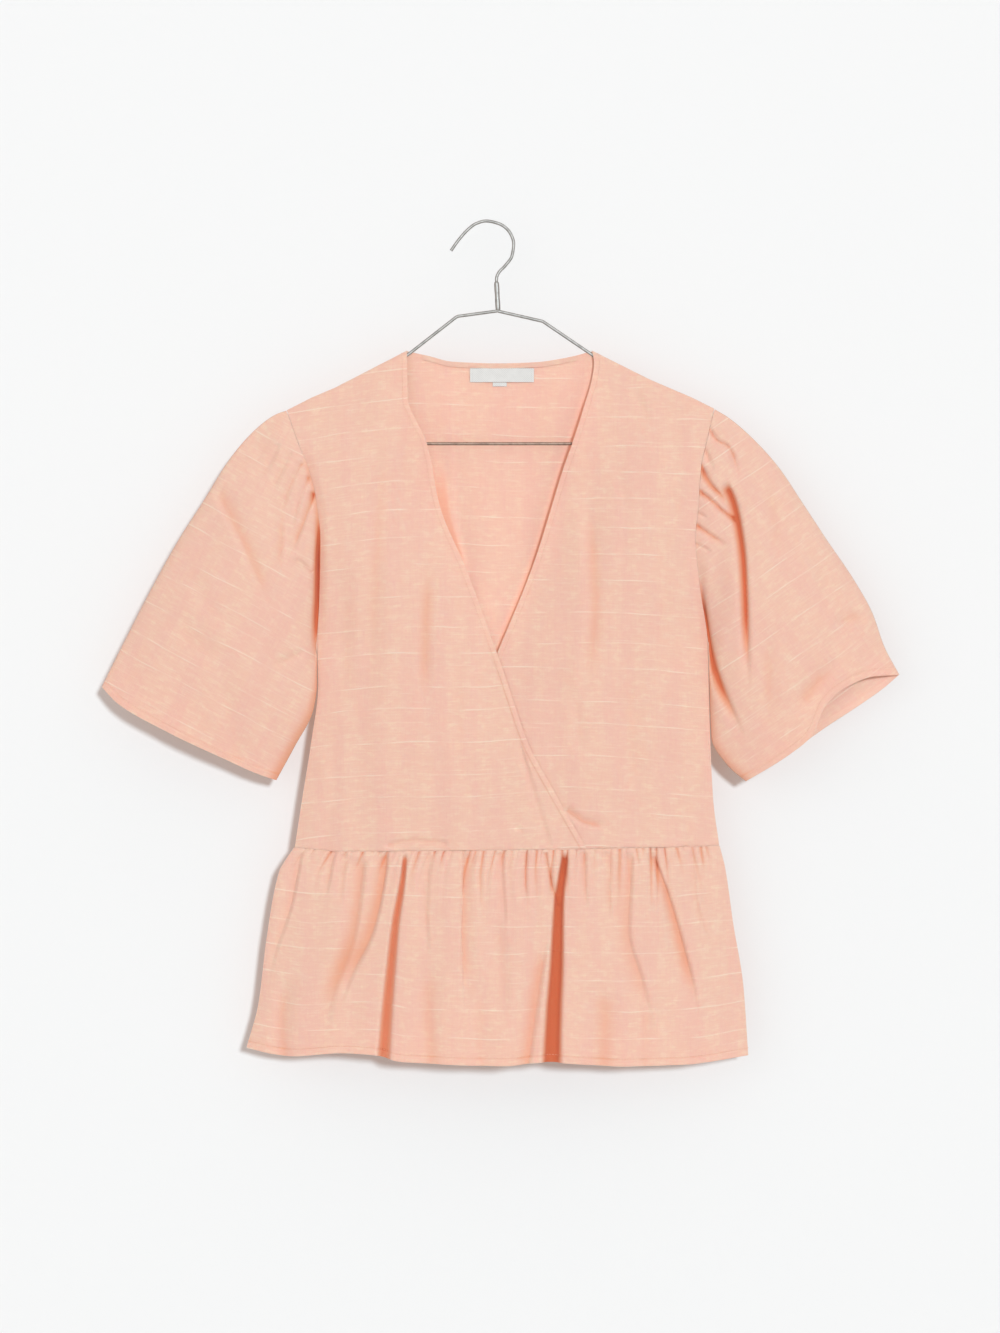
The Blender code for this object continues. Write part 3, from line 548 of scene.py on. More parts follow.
SLEEVE_LEFT_CREASES = (
    Crease(((-256, 122), (-236, 160), (-216, 204), (-200, 250)), 7, 3.4, lean=-0.4, begins=True),
    Crease(((-198, 84), (-208, 104), (-224, 118)), 2.6, 2.0, lean=0.4, begins=True),
    Crease(((-186, 92), (-197, 112), (-206, 132)), 2.4, 2.4, lean=0.4, begins=True),
    Crease(((-177, 100), (-188, 122), (-198, 150)), 2.4, 2.8, lean=0.4, begins=True),
    Crease(((-171, 112), (-180, 136), (-188, 166)), 2.4, 2.4, lean=0.4, begins=True),
    Crease(((-166, 126), (-174, 150), (-190, 190)), 3.0, 3.8, lean=0.5, begins=True),
    Crease(((-197, 138), (-196, 172), (-200, 210)), 4.0, 3.0, lean=0.4),
    Crease(((-166, 138), (-162.8, 172), (-163.8, 215), (-165.6, 250), (-167, 300)), 3.2, 6.2, lean=0.3,
           painted_shading=1.4),
    Crease(((-168, 200), (-178, 192), (-190, 186)), 2.4, 2.8, begins=True),
    Crease(((-170, 268), (-187, 276), (-206, 285)), 3.4, 2.6),
    Crease(((-206, 82), (-226, 104), (-240, 110)), 2.8, 1.6),
    Crease(((-300, 232), (-270, 262), (-236, 288)), 12, 2.4),
    Crease(((-282, 190), (-258, 230), (-230, 262)), 9, 1.8),
    Crease(((-250, 290), (-240, 330), (-236, 364)), 9, 2.0, opens=True),
)
SLEEVE_RIGHT_CREASES = (
    Crease(((187, 68), (196, 81), (205, 86), (210, 95), (215, 118)), 2.4, 3.8, lean=0.3, begins=True),
    Crease(((182, 82), (188, 98), (192, 110)), 2.2, 3.0, lean=0.3, begins=True),
    Crease(((178, 99), (189, 120), (197, 129), (205, 142)), 2.9, 5.6, lean=0.3, begins=True),
    Crease(((176, 124), (188, 133), (200, 144), (210, 151)), 2.5, 4.8, lean=0.3, begins=True, opens=True),
    Crease(((202, 117), (210, 134), (215, 156), (219, 190), (221, 240), (222.5, 312)), 4.6, 8.0,
           lean=0.5, spread=0.7, begins=True),
    Crease(((174, 143), (188, 152)), 1.7, 2.2, lean=0.3, begins=True),
    Crease(((174, 155), (188, 165), (204, 176)), 2.6, 4.2, lean=0.3, begins=True),
    Crease(((175, 173), (192, 182)), 1.8, 2.2, lean=0.3, begins=True),
    Crease(((179, 192), (184, 228), (188, 256), (193, 281), (200, 303), (210, 327), (221, 356)), 4.2, 8.0,
           lean=0.5),
    Crease(((232, 100), (246, 150), (252, 210)), 9, 2.6),
    Crease(((300, 250), (318, 238), (334, 238)), 6, 3.2, lean=0.4),
    Crease(((262, 330), (282, 300), (306, 276)), 8, 3.4),
    Crease(((236, 240), (240, 300), (236, 350)), 8, 2.8),
    Crease(((270, 160), (292, 206), (306, 240)), 8, 2.0),
)
SLEEVE_BACK_CREASES = (
    Crease(((182, 96), (196, 118), (208, 140)), 2.6, 3.0, begins=True),
    Crease(((178, 120), (192, 140), (206, 160)), 2.6, 3.4, begins=True),
    Crease(((177, 150), (194, 168), (210, 190)), 2.6, 2.8, begins=True),
    Crease(((230, 120), (242, 190), (246, 280)), 7, 4.0),
    Crease(((280, 190), (288, 240), (286, 300)), 9, 3.0),
)


@dataclass(frozen=True)
class Gathers:
    """Small folds that a gathering thread draws up along a seam, uneven in spacing, depth and length."""

    count: int
    depth: float
    length: float
    half_width: float
    seed: int

    def depth_at(self, along: Array, fall: Array, width: float) -> Array:
        """How deep the gathers are at each point.

        Args:
            along: Distance along the seam, in millimetres.
            fall: Distance down from the seam.
            width: The whole seam's length.

        Returns:
            Depths in millimetres.
        """
        rng = np.random.default_rng(self.seed)
        pitch = width / self.count
        total = np.zeros(np.shape(along))
        for number in range(self.count):
            centre = (number + 0.5 + rng.uniform(-0.32, 0.32)) * pitch
            half = self.half_width * rng.uniform(0.7, 1.35)
            deep = self.depth * rng.uniform(0.35, 1.3)
            length = self.length * rng.choice([0.35, 0.6, 0.9, 1.5, 2.1])
            drift = rng.uniform(-0.08, 0.08)
            away = (along - centre - drift * fall) / (half * (1 + fall / 45))
            total += deep * np.exp(-away ** 2 - (fall / length) ** 1.5)
        return total * smooth_step(fall / 1.2 + 0.25)


@dataclass
class Panel:
    """A cut piece as a grid: rows run down it, columns run left to right on the front view."""

    name: str
    points: Array
    weave: Array
    # The hollows are painted shade above 0 and painted light below 0, and shine is painted light given out as
    # emission; the second ones are for the other skin.
    hollow: Array
    ring: bool = False
    second_hollow: Optional[Array] = None
    shine: Optional[Array] = None
    second_shine: Optional[Array] = None

    def normals(self) -> Array:
        """Unit vectors square to the grid, towards the front on a front piece and inwards on a back one."""
        if self.ring:
            across = np.roll(self.points, -1, axis=1) - np.roll(self.points, 1, axis=1)
        else:
            across = np.gradient(self.points, axis=1)
        normals = np.cross(np.gradient(self.points, axis=0), across)
        return normals / np.maximum(np.linalg.norm(normals, axis=2, keepdims=True), 1e-12)

    def moved(self, distance: float) -> Array:
        """The grid's points moved along its normals by a distance in millimetres."""
        return self.points + self.normals() * distance * MM

    def faces(self) -> list[tuple[int, ...]]:
        """Lists the quads of a closed wall: both skins and the rims that join them.

        Returns:
            Vertex numbers of each face, the first skin's vertices first.
        """
        rows, columns = self.points.shape[:2]
        index = np.arange(rows * columns).reshape(rows, columns)
        if self.ring:
            index = np.concatenate([index, index[:, :1]], axis=1)
        skin = rows * columns
        outer = np.stack([index[:-1, :-1], index[1:, :-1], index[1:, 1:], index[:-1, 1:]], axis=-1)
        outer = outer.reshape(-1, 4)
        inner = outer[:, ::-1] + skin
        rims = [index[0], index[-1][::-1]]
        if not self.ring:
            rims = [index[0], index[:, -1], index[-1][::-1], index[::-1, 0]]
        bands = [np.stack([rim[:-1], rim[1:], rim[1:] + skin, rim[:-1] + skin], axis=-1) for rim in rims]
        return np.concatenate([outer, inner, *bands]).tolist()

    def wall(self, thickness: float, material: Material) -> Piece:
        """Makes the piece's object: a thin closed wall with its weave map, its painted shade and light, and
        its painted glow.

        Args:
            thickness: The cloth's thickness in millimetres.
            material: Its finish.

        Returns:
            The linked object.
        """
        skins = np.concatenate([self.moved(lift).reshape(-1, 3) for lift in (thickness / 2, -thickness / 2)])
        mesh = bpy.data.meshes.new(self.name)
        mesh.from_pydata(skins.tolist(), [], self.faces())
        weave = np.tile(self.weave.reshape(-1, 2), (2, 1))
        corners = np.zeros(len(mesh.loops), np.int32)
        mesh.loops.foreach_get("vertex_index", corners)
        mesh.uv_layers.new(name="weave").data.foreach_set("uv", weave[corners].astype(np.float32).ravel())
        second = self.hollow if self.second_hollow is None else self.second_hollow
        hollow = np.concatenate([self.hollow.ravel(), second.ravel()]).astype(np.float32)
        mesh.attributes.new("hollow", "FLOAT", "POINT").data.foreach_set("value", hollow)
        if self.shine is not None:
            second = np.zeros_like(self.shine) if self.second_shine is None else self.second_shine
            shine = np.concatenate([self.shine.ravel(), second.ravel()]).astype(np.float32)
            mesh.attributes.new("shine", "FLOAT", "POINT").data.foreach_set("value", shine)
        mesh.update()
        return finished(self.name, mesh, material, CLOTH_SHARP)

    def line_at(self, measure: Array, level: float, lift: float) -> Array:
        """Points of a line on the cloth, one for each row, where a measure reaches a level.

        Args:
            measure: A value at each grid point that rises or falls along each row.
            level: The value on the line.
            lift: How far the line lies off the middle of the cloth, in millimetres.

        Returns:
            Points in metres.
        """
        lifted = self.moved(lift)
        order = slice(None) if measure[-1, -1] > measure[-1, 0] else slice(None, None, -1)
        rows = [[np.interp(level, measure[row, order], lifted[row, order, axis]) for axis in range(3)]
                for row in range(len(measure))]
        return np.array(rows)


def add_object(name: str, data: Any) -> Piece:
    """Adds an object to the scene.

    Args:
        name: Its name.
        data: Its mesh, curve, light or camera.

    Returns:
        The object.
    """
    item = bpy.data.objects.new(name, data)
    bpy.context.scene.collection.objects.link(item)
    return item


def plain_mesh(item: Piece) -> bpy.types.Mesh:
    """Makes a mesh of an object with its modifiers applied."""
    return bpy.data.meshes.new_from_object(item.evaluated_get(bpy.context.evaluated_depsgraph_get()))


def finished(name: str, mesh: bpy.types.Mesh, material: Material, sharp: float,
             weld: float = 0.0) -> Piece:
    """Makes a closed mesh a smooth object whose faces point outwards.

    Args:
        name: The piece's name.
        mesh: Its mesh.
        material: Its finish.
        sharp: The angle in degrees past which an edge stays sharp.
        weld: How near points are joined into one, in metres, or 0 to join none.

    Returns:
        The piece.
    """
    shell = bmesh.new()
    shell.from_mesh(mesh)
    if weld:
        bmesh.ops.remove_doubles(shell, verts=shell.verts, dist=weld)
    bmesh.ops.recalc_face_normals(shell, faces=shell.faces)
    shell.to_mesh(mesh)
    shell.free()
    mesh.materials.clear()
    mesh.materials.append(material)
    mesh.shade_smooth()
    mesh.set_sharp_from_angle(angle=math.radians(sharp))
    return add_object(name, mesh)


def column_falls(x: Array, drop: Array) -> tuple[Array, Array]:
    """How far each grid point is from its column's first row, and from its last one, in millimetres."""
    steps = np.hypot(np.diff(x, axis=0), np.diff(drop, axis=0))
    fall = np.concatenate([np.zeros((1, x.shape[1])), np.cumsum(steps, axis=0)])
    return fall, fall[-1] - fall


def painted_fold_shade(depth: Array) -> Array:
    """How strongly painted shade darkens a crease of this depth, from 0 to 1."""
    return 0.42 * smooth_step((depth - 0.8) / 5.0) + 0.58 * smooth_step((depth - 4.6) / 3.6)


def stitch_groove(distance: Array, width: float) -> Array:
    """How strongly each point lies in the groove that a hem's stitching pulls, from 0 to 1."""
    return np.exp(-((distance - width + STITCH_INSET) / 0.75) ** 2)


def hem_relief(distance: Array, width: float) -> Array:
    """How far a turned hem stands proud, with the dip along its stitching.

    Args:
        distance: Distance in from the edge, in millimetres.
        width: The hem's width.

    Returns:
        Heights in millimetres.
    """
    turned = 0.5 * (1 - smooth_step((distance - width + 0.4) / 1.0))
    edge = 0.2 * np.exp(-((distance / 0.5) ** 2))
    return turned - 0.5 * stitch_groove(distance, width) - edge


class Tree:
    """A node tree under construction, with short calls that add and join nodes."""

    def __init__(self, tree: bpy.types.NodeTree) -> None:
        """Keeps the tree."""
        self.tree = tree

    def add(self, kind: str, **settings: Any) -> bpy.types.Node:
        """Adds a node.

        Args:
            kind: Its type name.
            **settings: Properties to set on it.

        Returns:
            The node.
        """
        node = self.tree.nodes.new(kind)
        for name, value in settings.items():
            setattr(node, name, value)
        return node

    def join(self, source: Any, target: Socket) -> None:
        """Feeds a socket from another socket, or gives it a constant.

        Args:
            source: An output socket or a value.
            target: The input socket.
        """
        if isinstance(source, Socket):
            self.tree.links.new(source, target)
        else:
            target.default_value = source

    def maths(self, operation: str, *values: Any) -> Socket:
        """Adds a Math node.

        Args:
            operation: Its operation.
            *values: Sockets or numbers for its inputs.

        Returns:
            Its result.
        """
        node = self.add("ShaderNodeMath", operation=operation)
        for value, target in zip(values, node.inputs):
            self.join(value, target)
        return node.outputs[0]

    def ramp(self, value: Any, low: float, high: float, start: float = 0.0,
             end: float = 1.0) -> Socket:
        """Adds a smooth Map Range node.

        Args:
            value: The socket to read.
            low: The value that gives start.
            high: The value that gives end.
            start: The result at and below low.
            end: The result at and above high.

        Returns:
            Its result.
        """
        node = self.add("ShaderNodeMapRange", interpolation_type="SMOOTHSTEP")
        for name, number in (("From Min", low), ("From Max", high), ("To Min", start), ("To Max", end)):
            node.inputs[name].default_value = number
        self.join(value, node.inputs["Value"])
        return node.outputs["Result"]

    def noise(self, vector: Socket, scale: float, detail: float = 2.0) -> Socket:
        """Adds a Noise Texture.

        Args:
            vector: Where it is read.
            scale: Features per unit.
            detail: Its octaves.

        Returns:
            Its value, about 0.5 on average.
        """
        node = self.add("ShaderNodeTexNoise")
        node.inputs["Scale"].default_value = scale
        node.inputs["Detail"].default_value = detail
        self.join(vector, node.inputs["Vector"])
        return node.outputs["Fac"]

    def stretched(self, vector: Socket, scale: Sequence[float]) -> Socket:
        """Scales a vector unevenly.

        Args:
            vector: The vector.
            scale: Its factor on each axis.

        Returns:
            The scaled vector.
        """
        node = self.add("ShaderNodeVectorMath", operation="MULTIPLY")
        self.join(vector, node.inputs[0])
        node.inputs[1].default_value = tuple(scale)
        return node.outputs[0]

    def point(self, x: Any, y: Any, z: Any = 0.0) -> Socket:
        """Adds a Combine XYZ node.

        Args:
            x: Its first coordinate.
            y: Its second coordinate.
            z: Its third coordinate.

        Returns:
            The vector.
        """
        node = self.add("ShaderNodeCombineXYZ")
        for value, target in zip((x, y, z), node.inputs):
            self.join(value, target)
        return node.outputs[0]

    def blend(self, share: Any, first: Any, second: Any) -> Socket:
        """Mixes two colours.

        Args:
            share: How much of the second one shows.
            first: A colour socket or value.
            second: A colour socket or value.

        Returns:
            The mixed colour.
        """
        node = self.add("ShaderNodeMix", data_type="RGBA")
        self.join(share, node.inputs["Factor"])
        self.join(first, node.inputs[6])
        self.join(second, node.inputs[7])
        return node.outputs[2]


@dataclass(frozen=True)
class SlubRow:
    """Thick weft yarns that show as pale broken lines across the cloth."""

    pitch: float
    half_width: float
    reach: float
    strength: float
    broken: float


SLUB_ROWS = (
    SlubRow(pitch=25.8, half_width=0.85, reach=34.0, strength=0.9, broken=0.36),
    SlubRow(pitch=8.6, half_width=0.75, reach=24.0, strength=0.42, broken=0.46),
    SlubRow(pitch=3.4, half_width=0.6, reach=16.0, strength=0.24, broken=0.5),
)


# Relief of the yarns and of the single threads, as shares of a slub's
YARN_RELIEF = 0.5
THREAD_RELIEF = 0.12


def slub_weave_group() -> bpy.types.NodeTree:
    """Builds the shader group of plain-woven slub cotton, which reads a weave map in metres.

    Returns:
        The group, with the cloth's colour, which carries painted shade and painted light, the painted light
        given out as emission in place of light through the cloth, and its height as outputs.
    """
    group = bpy.data.node_groups.new("slub_weave", "ShaderNodeTree")
    face = group.interface
    face.new_socket("Weave", in_out="INPUT", socket_type="NodeSocketVector")
    # Hollow paints shade into the colour above 0 and paints light below 0; Shine sets how much painted light
    # the cloth gives out.
    face.new_socket("Hollow", in_out="INPUT", socket_type="NodeSocketFloat")
    face.new_socket("Shine", in_out="INPUT", socket_type="NodeSocketFloat")
    for name in ("Cloth", "Cream", "Pink", "Slub", "Glow", "Fold"):
        face.new_socket(name, in_out="INPUT", socket_type="NodeSocketColor")
    face.new_socket("Colour", in_out="OUTPUT", socket_type="NodeSocketColor")
    face.new_socket("Light", in_out="OUTPUT", socket_type="NodeSocketColor")
    face.new_socket("Height", in_out="OUTPUT", socket_type="NodeSocketFloat")
    tree = Tree(group)
    inside = tree.add("NodeGroupInput").outputs
    outside = tree.add("NodeGroupOutput").inputs

    weave = tree.stretched(inside["Weave"], (1000, 1000, 1000))
    split = tree.add("ShaderNodeSeparateXYZ")
    tree.join(weave, split.inputs[0])
    along, down = split.outputs[0], split.outputs[1]
    wander = tree.maths("MULTIPLY", tree.maths("SUBTRACT", tree.noise(weave, 0.018, 1.0), 0.5), 5.0)
    wandering = tree.maths("ADD", down, wander)

    slubs = None
    for number, row in enumerate(SLUB_ROWS):
        index = tree.maths("FLOOR", tree.maths("DIVIDE", wandering, row.pitch))
        chance = tree.add("ShaderNodeTexWhiteNoise", noise_dimensions="1D")
        tree.join(tree.maths("ADD", index, 37.0 * number), chance.inputs["W"])
        centre = tree.maths("ADD", index, tree.maths("MULTIPLY_ADD", chance.outputs["Value"], 0.3, 0.35))
        line_at = tree.maths("MULTIPLY", centre, row.pitch)
        away = tree.maths("ABSOLUTE", tree.maths("SUBTRACT", wandering, line_at))
        yarn = tree.ramp(away, 0.35 * row.half_width, row.half_width, 1.0, 0.0)
        own_row = tree.maths("MULTIPLY", index, 7.31)
        spot = tree.point(tree.maths("DIVIDE", along, row.reach), own_row, 3.0 * number)
        shown = tree.ramp(tree.noise(spot, 1.0, 2.0), row.broken, row.broken + 0.28, 0.0, row.strength)
        line = tree.maths("MULTIPLY", yarn, shown)
        slubs = line if slubs is None else tree.maths("MAXIMUM", slubs, line)

    weft = tree.noise(tree.stretched(weave, (0.07, 0.75, 1)), 1.0, 3.0)
    warp = tree.noise(tree.stretched(weave, (0.8, 0.05, 1)), 1.0, 3.0)
    patch = tree.noise(tree.stretched(weave, (0.1, 0.2, 1)), 1.0, 3.0)
    mottle = tree.noise(tree.stretched(weave, (0.3, 0.42, 1)), 1.0, 4.0)
    band = tree.noise(tree.stretched(weave, (0.05, 0.008, 1)), 1.0, 2.0)
    cream_share = tree.maths("ADD", tree.ramp(weft, 0.4, 0.7, end=0.42),
                             tree.ramp(patch, 0.48, 0.68, end=0.5))
    pink_share = tree.maths("ADD", tree.ramp(warp, 0.4, 0.7, end=0.26),
                            tree.ramp(mottle, 0.44, 0.68, end=0.3))
    pink_share = tree.maths("ADD", pink_share, tree.ramp(band, 0.44, 0.62, end=0.34))
    colour = tree.blend(cream_share, inside["Cloth"], inside["Cream"])
    colour = tree.blend(pink_share, colour, inside["Pink"])
    colour = tree.blend(tree.maths("MULTIPLY", slubs, 0.55), colour, inside["Slub"])
    # Painted light where Hollow is below 0, paler towards the slub colour; painted shade above 0, towards the
    # orange and then the deep fold colour.
    colour = tree.blend(tree.ramp(inside["Hollow"], -0.5, 0.0, 0.45, 0.0), colour, inside["Slub"])
    colour = tree.blend(tree.ramp(inside["Hollow"], 0.0, 0.55), colour, inside["Glow"])
    colour = tree.blend(tree.ramp(inside["Hollow"], 0.45, 1.0), colour, inside["Fold"])
    tree.join(colour, outside["Colour"])
    # Painted light: the colour times Shine, given out as emission.
    tree.join(tree.blend(inside["Shine"], (0.0, 0.0, 0.0, 1.0), colour), outside["Light"])

    threads = tree.add("ShaderNodeTexChecker")
    threads.inputs["Scale"].default_value = 2.3
    threads.inputs["Color1"].default_value = (1, 1, 1, 1)
    threads.inputs["Color2"].default_value = (0, 0, 0, 1)
    tree.join(weave, threads.inputs["Vector"])
    height = tree.maths("ADD", slubs, tree.maths("MULTIPLY", tree.maths("ADD", weft, warp), YARN_RELIEF))
    height = tree.maths("ADD", height, tree.maths("MULTIPLY", threads.outputs["Fac"], THREAD_RELIEF))
    tree.join(height, outside["Height"])
    return group


def surface_material(name: str, roughness: float, specular: float, metallic: float = 0.0) -> tuple[
        Material, Tree, bpy.types.Node]:
    """Starts a material with a Principled BSDF.

    Args:
        name: The material's name.
        roughness: Its roughness.
        specular: Its specular level.
        metallic: 1 for bare metal.

    Returns:
        The material, its tree and its shader node.
    """
    material = bpy.data.materials.new(name)
    material.use_nodes = True
    shader = material.node_tree.nodes["Principled BSDF"]
    shader.inputs["Roughness"].default_value = roughness
    shader.inputs["Specular IOR Level"].default_value = specular
    shader.inputs["Metallic"].default_value = metallic
    return material, Tree(material.node_tree), shader


@dataclass(frozen=True)
class CottonFinish:
    """Peach slub cotton, with painted shade in its creases and painted light that it gives out as emission.
    """

    name: str = "peach_slub_cotton"
    cloth: Colour = (0.85, 0.535, 0.42)
    cream: Colour = (0.885, 0.64, 0.49)
    pink: Colour = (0.835, 0.485, 0.41)
    slub: Colour = (0.95, 0.78, 0.65)
    # Painted shade: the orange and the deep fold colour stand in for shade in creases and recesses.
    glow: Colour = (0.79, 0.36, 0.225)
    fold: Colour = (0.63, 0.165, 0.075)
    roughness: float = 0.92
    sheen: float = 0.1
    relief: float = 0.00022
    bumps: float = 0.75
    see_through: float = 0.55
    depth_of_light: float = 0.0014

    def material(self, weave: bpy.types.NodeTree) -> Material:
        """Builds the material.

        Args:
            weave: The slub weave's shader group.

        Returns:
            The material.
        """
        material, tree, shader = surface_material(self.name, self.roughness, 0.15)
        shader.inputs["Sheen Weight"].default_value = self.sheen
        shader.inputs["Sheen Roughness"].default_value = 0.6
        shader.inputs["Subsurface Weight"].default_value = self.see_through
        shader.inputs["Subsurface Scale"].default_value = self.depth_of_light
        shader.inputs["Subsurface Radius"].default_value = (1.0, 0.75, 0.65)
        cloth = tree.add("ShaderNodeGroup", node_tree=weave)
        for socket, colour in (("Cloth", self.cloth), ("Cream", self.cream), ("Pink", self.pink),
                               ("Slub", self.slub), ("Glow", self.glow), ("Fold", self.fold)):
            cloth.inputs[socket].default_value = (*colour, 1.0)
        tree.join(tree.add("ShaderNodeUVMap", uv_map="weave").outputs["UV"], cloth.inputs["Weave"])
        for socket in ("Hollow", "Shine"):
            read = tree.add("ShaderNodeAttribute", attribute_name=socket.lower())
            tree.join(read.outputs["Fac"], cloth.inputs[socket])
        tree.join(cloth.outputs["Colour"], shader.inputs["Base Color"])
        # Painted light: the cloth glows through its emission, though it is no lamp.
        tree.join(cloth.outputs["Light"], shader.inputs["Emission Color"])
        shader.inputs["Emission Strength"].default_value = 1.0
        material.cycles.emission_sampling = "NONE"
        bump = tree.add("ShaderNodeBump")
        bump.inputs["Strength"].default_value = self.bumps
        bump.inputs["Distance"].default_value = self.relief
        tree.join(cloth.outputs["Height"], bump.inputs["Height"])
        tree.join(bump.outputs["Normal"], shader.inputs["Normal"])
        return material


@dataclass(frozen=True)
class TwillFinish:
    """A plain woven tape, for the blank label and the sewing thread."""

    name: str
    light: Colour
    dark: Colour
    pitch: float
    roughness: float = 0.75
    relief: float = 0.00008

    def material(self) -> Material:
        """Builds the material, whose fine ribs read object coordinates."""
        material, tree, shader = surface_material(self.name, self.roughness, 0.25)
        shader.inputs["Sheen Weight"].default_value = 0.1
        place_in = tree.add("ShaderNodeTexCoord").outputs["Object"]
        ribs = tree.add("ShaderNodeTexWave", wave_type="BANDS", bands_direction="DIAGONAL")
        ribs.inputs["Scale"].default_value = self.pitch
        ribs.inputs["Distortion"].default_value = 0.8
        tree.join(place_in, ribs.inputs["Vector"])
        stain = tree.noise(place_in, 160.0, 3.0)
        share = tree.maths("MULTIPLY", ribs.outputs["Fac"], tree.ramp(stain, 0.3, 0.7, 0.4, 1.0))
        tree.join(tree.blend(share, (*self.light, 1.0), (*self.dark, 1.0)), shader.inputs["Base Color"])
        bump = tree.add("ShaderNodeBump")
        bump.inputs["Distance"].default_value = self.relief
        bump.inputs["Strength"].default_value = 0.5
        tree.join(ribs.outputs["Fac"], bump.inputs["Height"])
        tree.join(bump.outputs["Normal"], shader.inputs["Normal"])
        return material


@dataclass(frozen=True)
class SteelFinish:
    """Bare drawn steel wire, a little dulled."""

    name: str = "drawn_steel_wire"
    bright: Colour = (0.50, 0.495, 0.48)
    dull: Colour = (0.37, 0.365, 0.35)
    roughness: float = 0.55

    def material(self) -> Material:
        """Builds the material, with its dulling read from object coordinates."""
        material, tree, shader = surface_material(self.name, self.roughness, 0.5, metallic=1.0)
        place_in = tree.add("ShaderNodeTexCoord").outputs["Object"]
        dulling = tree.ramp(tree.noise(place_in, 210.0, 4.0), 0.35, 0.7)
        scuffs = tree.noise(place_in, 900.0, 2.0)
        tree.join(tree.blend(dulling, (*self.bright, 1.0), (*self.dull, 1.0)), shader.inputs["Base Color"])
        tree.join(tree.ramp(scuffs, 0.3, 0.7, 0.5, 0.62), shader.inputs["Roughness"])
        return material


@dataclass
class Finishes:
    """Every finish of the top and its hanger, built once."""

    cotton: Material
    thread: Material
    label: Material
    label_thread: Material
    steel: Material
    shaded_steel: Material

    @classmethod
    def built(cls) -> "Finishes":
        """Builds the materials."""
        return cls(
            cotton=CottonFinish().material(slub_weave_group()),
            thread=TwillFinish("peach_thread", (0.82, 0.51, 0.38), (0.70, 0.39, 0.27), 900.0).material(),
            label=TwillFinish("white_label_tape", (0.74, 0.73, 0.71), (0.62, 0.61, 0.59), 330.0).material(),
            label_thread=TwillFinish("white_thread", (0.66, 0.65, 0.62), (0.5, 0.49, 0.47), 900.0).material(),
            steel=SteelFinish().material(),
            # The bar's copy of the steel is darker and brownish: painted shade and a painted reflection of
            # the cloth round it
            shaded_steel=SteelFinish("shaded_steel_wire", (0.42, 0.32, 0.26), (0.30, 0.225, 0.18)).material(),
        )


@dataclass
class BodyForm:
    """The bodice's and skirt's outline, and how far they stand from the hanger's plane."""

    edge_depth: float = 0.6
    ridge: float = 1.5
    slope_length: float = 40.0
    side_roundness: float = 0.8
    left_x: Profile = Profile(LEFT_EDGE)
    right_x: Profile = Profile(RIGHT_EDGE)
    side: Profile = body_section("side")
    front: Profile = body_section("front")
    back: Profile = body_section("back")
    over_x: Profile = Profile(OVER_EDGE)
    under_x: Profile = Profile(UNDER_EDGE)
    crossing: float = 272.0
    neck_dip: float = 16.0
    dip_reach: float = 50.0
    neck_rise: float = 12.0
    left_valley: Profile = Profile(LEFT_VALLEY)
    right_valley: Profile = Profile(RIGHT_VALLEY)
    valley_width: float = 5.5

    def share(self, x: Array, drop: Array) -> Array:
        """How far across the bodice each point is, from 0 at the left edge to 1 at the right one."""
        left, right = self.left_x(drop), self.right_x(drop)
        return np.clip((x - left) / (right - left), 0, 1)

    def depth(self, x: Array, drop: Array, middle: Profile) -> Array:
        """Distance of the bodice's cloth from the hanger's plane.

        Args:
            x: The points' x.
            drop: The points' drop.
            middle: The depth in the middle, front or back.

        Returns:
            Depths in millimetres, before creases.
        """
        below = np.maximum(drop - shoulder_drop(x), 0)
        side = self.side(drop)
        crown = np.sin(np.pi * self.share(x, drop)) ** self.side_roundness
        over_ridge = 1 - np.exp(-below / self.ridge)
        down_slope = 1 - np.exp(-below / self.slope_length)
        return self.edge_depth + side * over_ridge + (middle(drop) - side) * crown * down_slope

    def valley(self, side: Array, drop: Array, away: Array) -> Array:
        """How deep the armhole seam sinks at a distance from it, with side negative on the left."""
        deep = np.where(side < 0, self.left_valley(drop), self.right_valley(drop))
        deep = np.minimum(deep, 0.8 * self.side(drop))
        return deep * np.exp(-((away / self.valley_width) ** 2))

    def dip(self, x: Array, drop: Array) -> Array:
        """How far the fronts sink back round the V neck.

        Args:
            x: The points' x.
            drop: The points' drop.

        Returns:
            Depths in millimetres.
        """
        level = np.minimum(drop, self.crossing)
        beside = np.maximum(np.maximum(self.over_x(level) - x, x - self.under_x(level)), 0)
        away = np.hypot(beside, 0.6 * np.maximum(drop - self.crossing, 0))
        return self.neck_dip * np.exp(-((away / self.dip_reach) ** 2)) * smooth_step((drop - 50) / 90)

    def calm(self, x: Array, drop: Array) -> Array:
        """Fades creases out where pieces meet: from 0 on a side edge or shoulder to 1 inside."""
        share = self.share(x, drop)
        return smooth_step(np.minimum(share, 1 - share) / 0.045) * smooth_step((drop - shoulder_drop(x)) / 26)


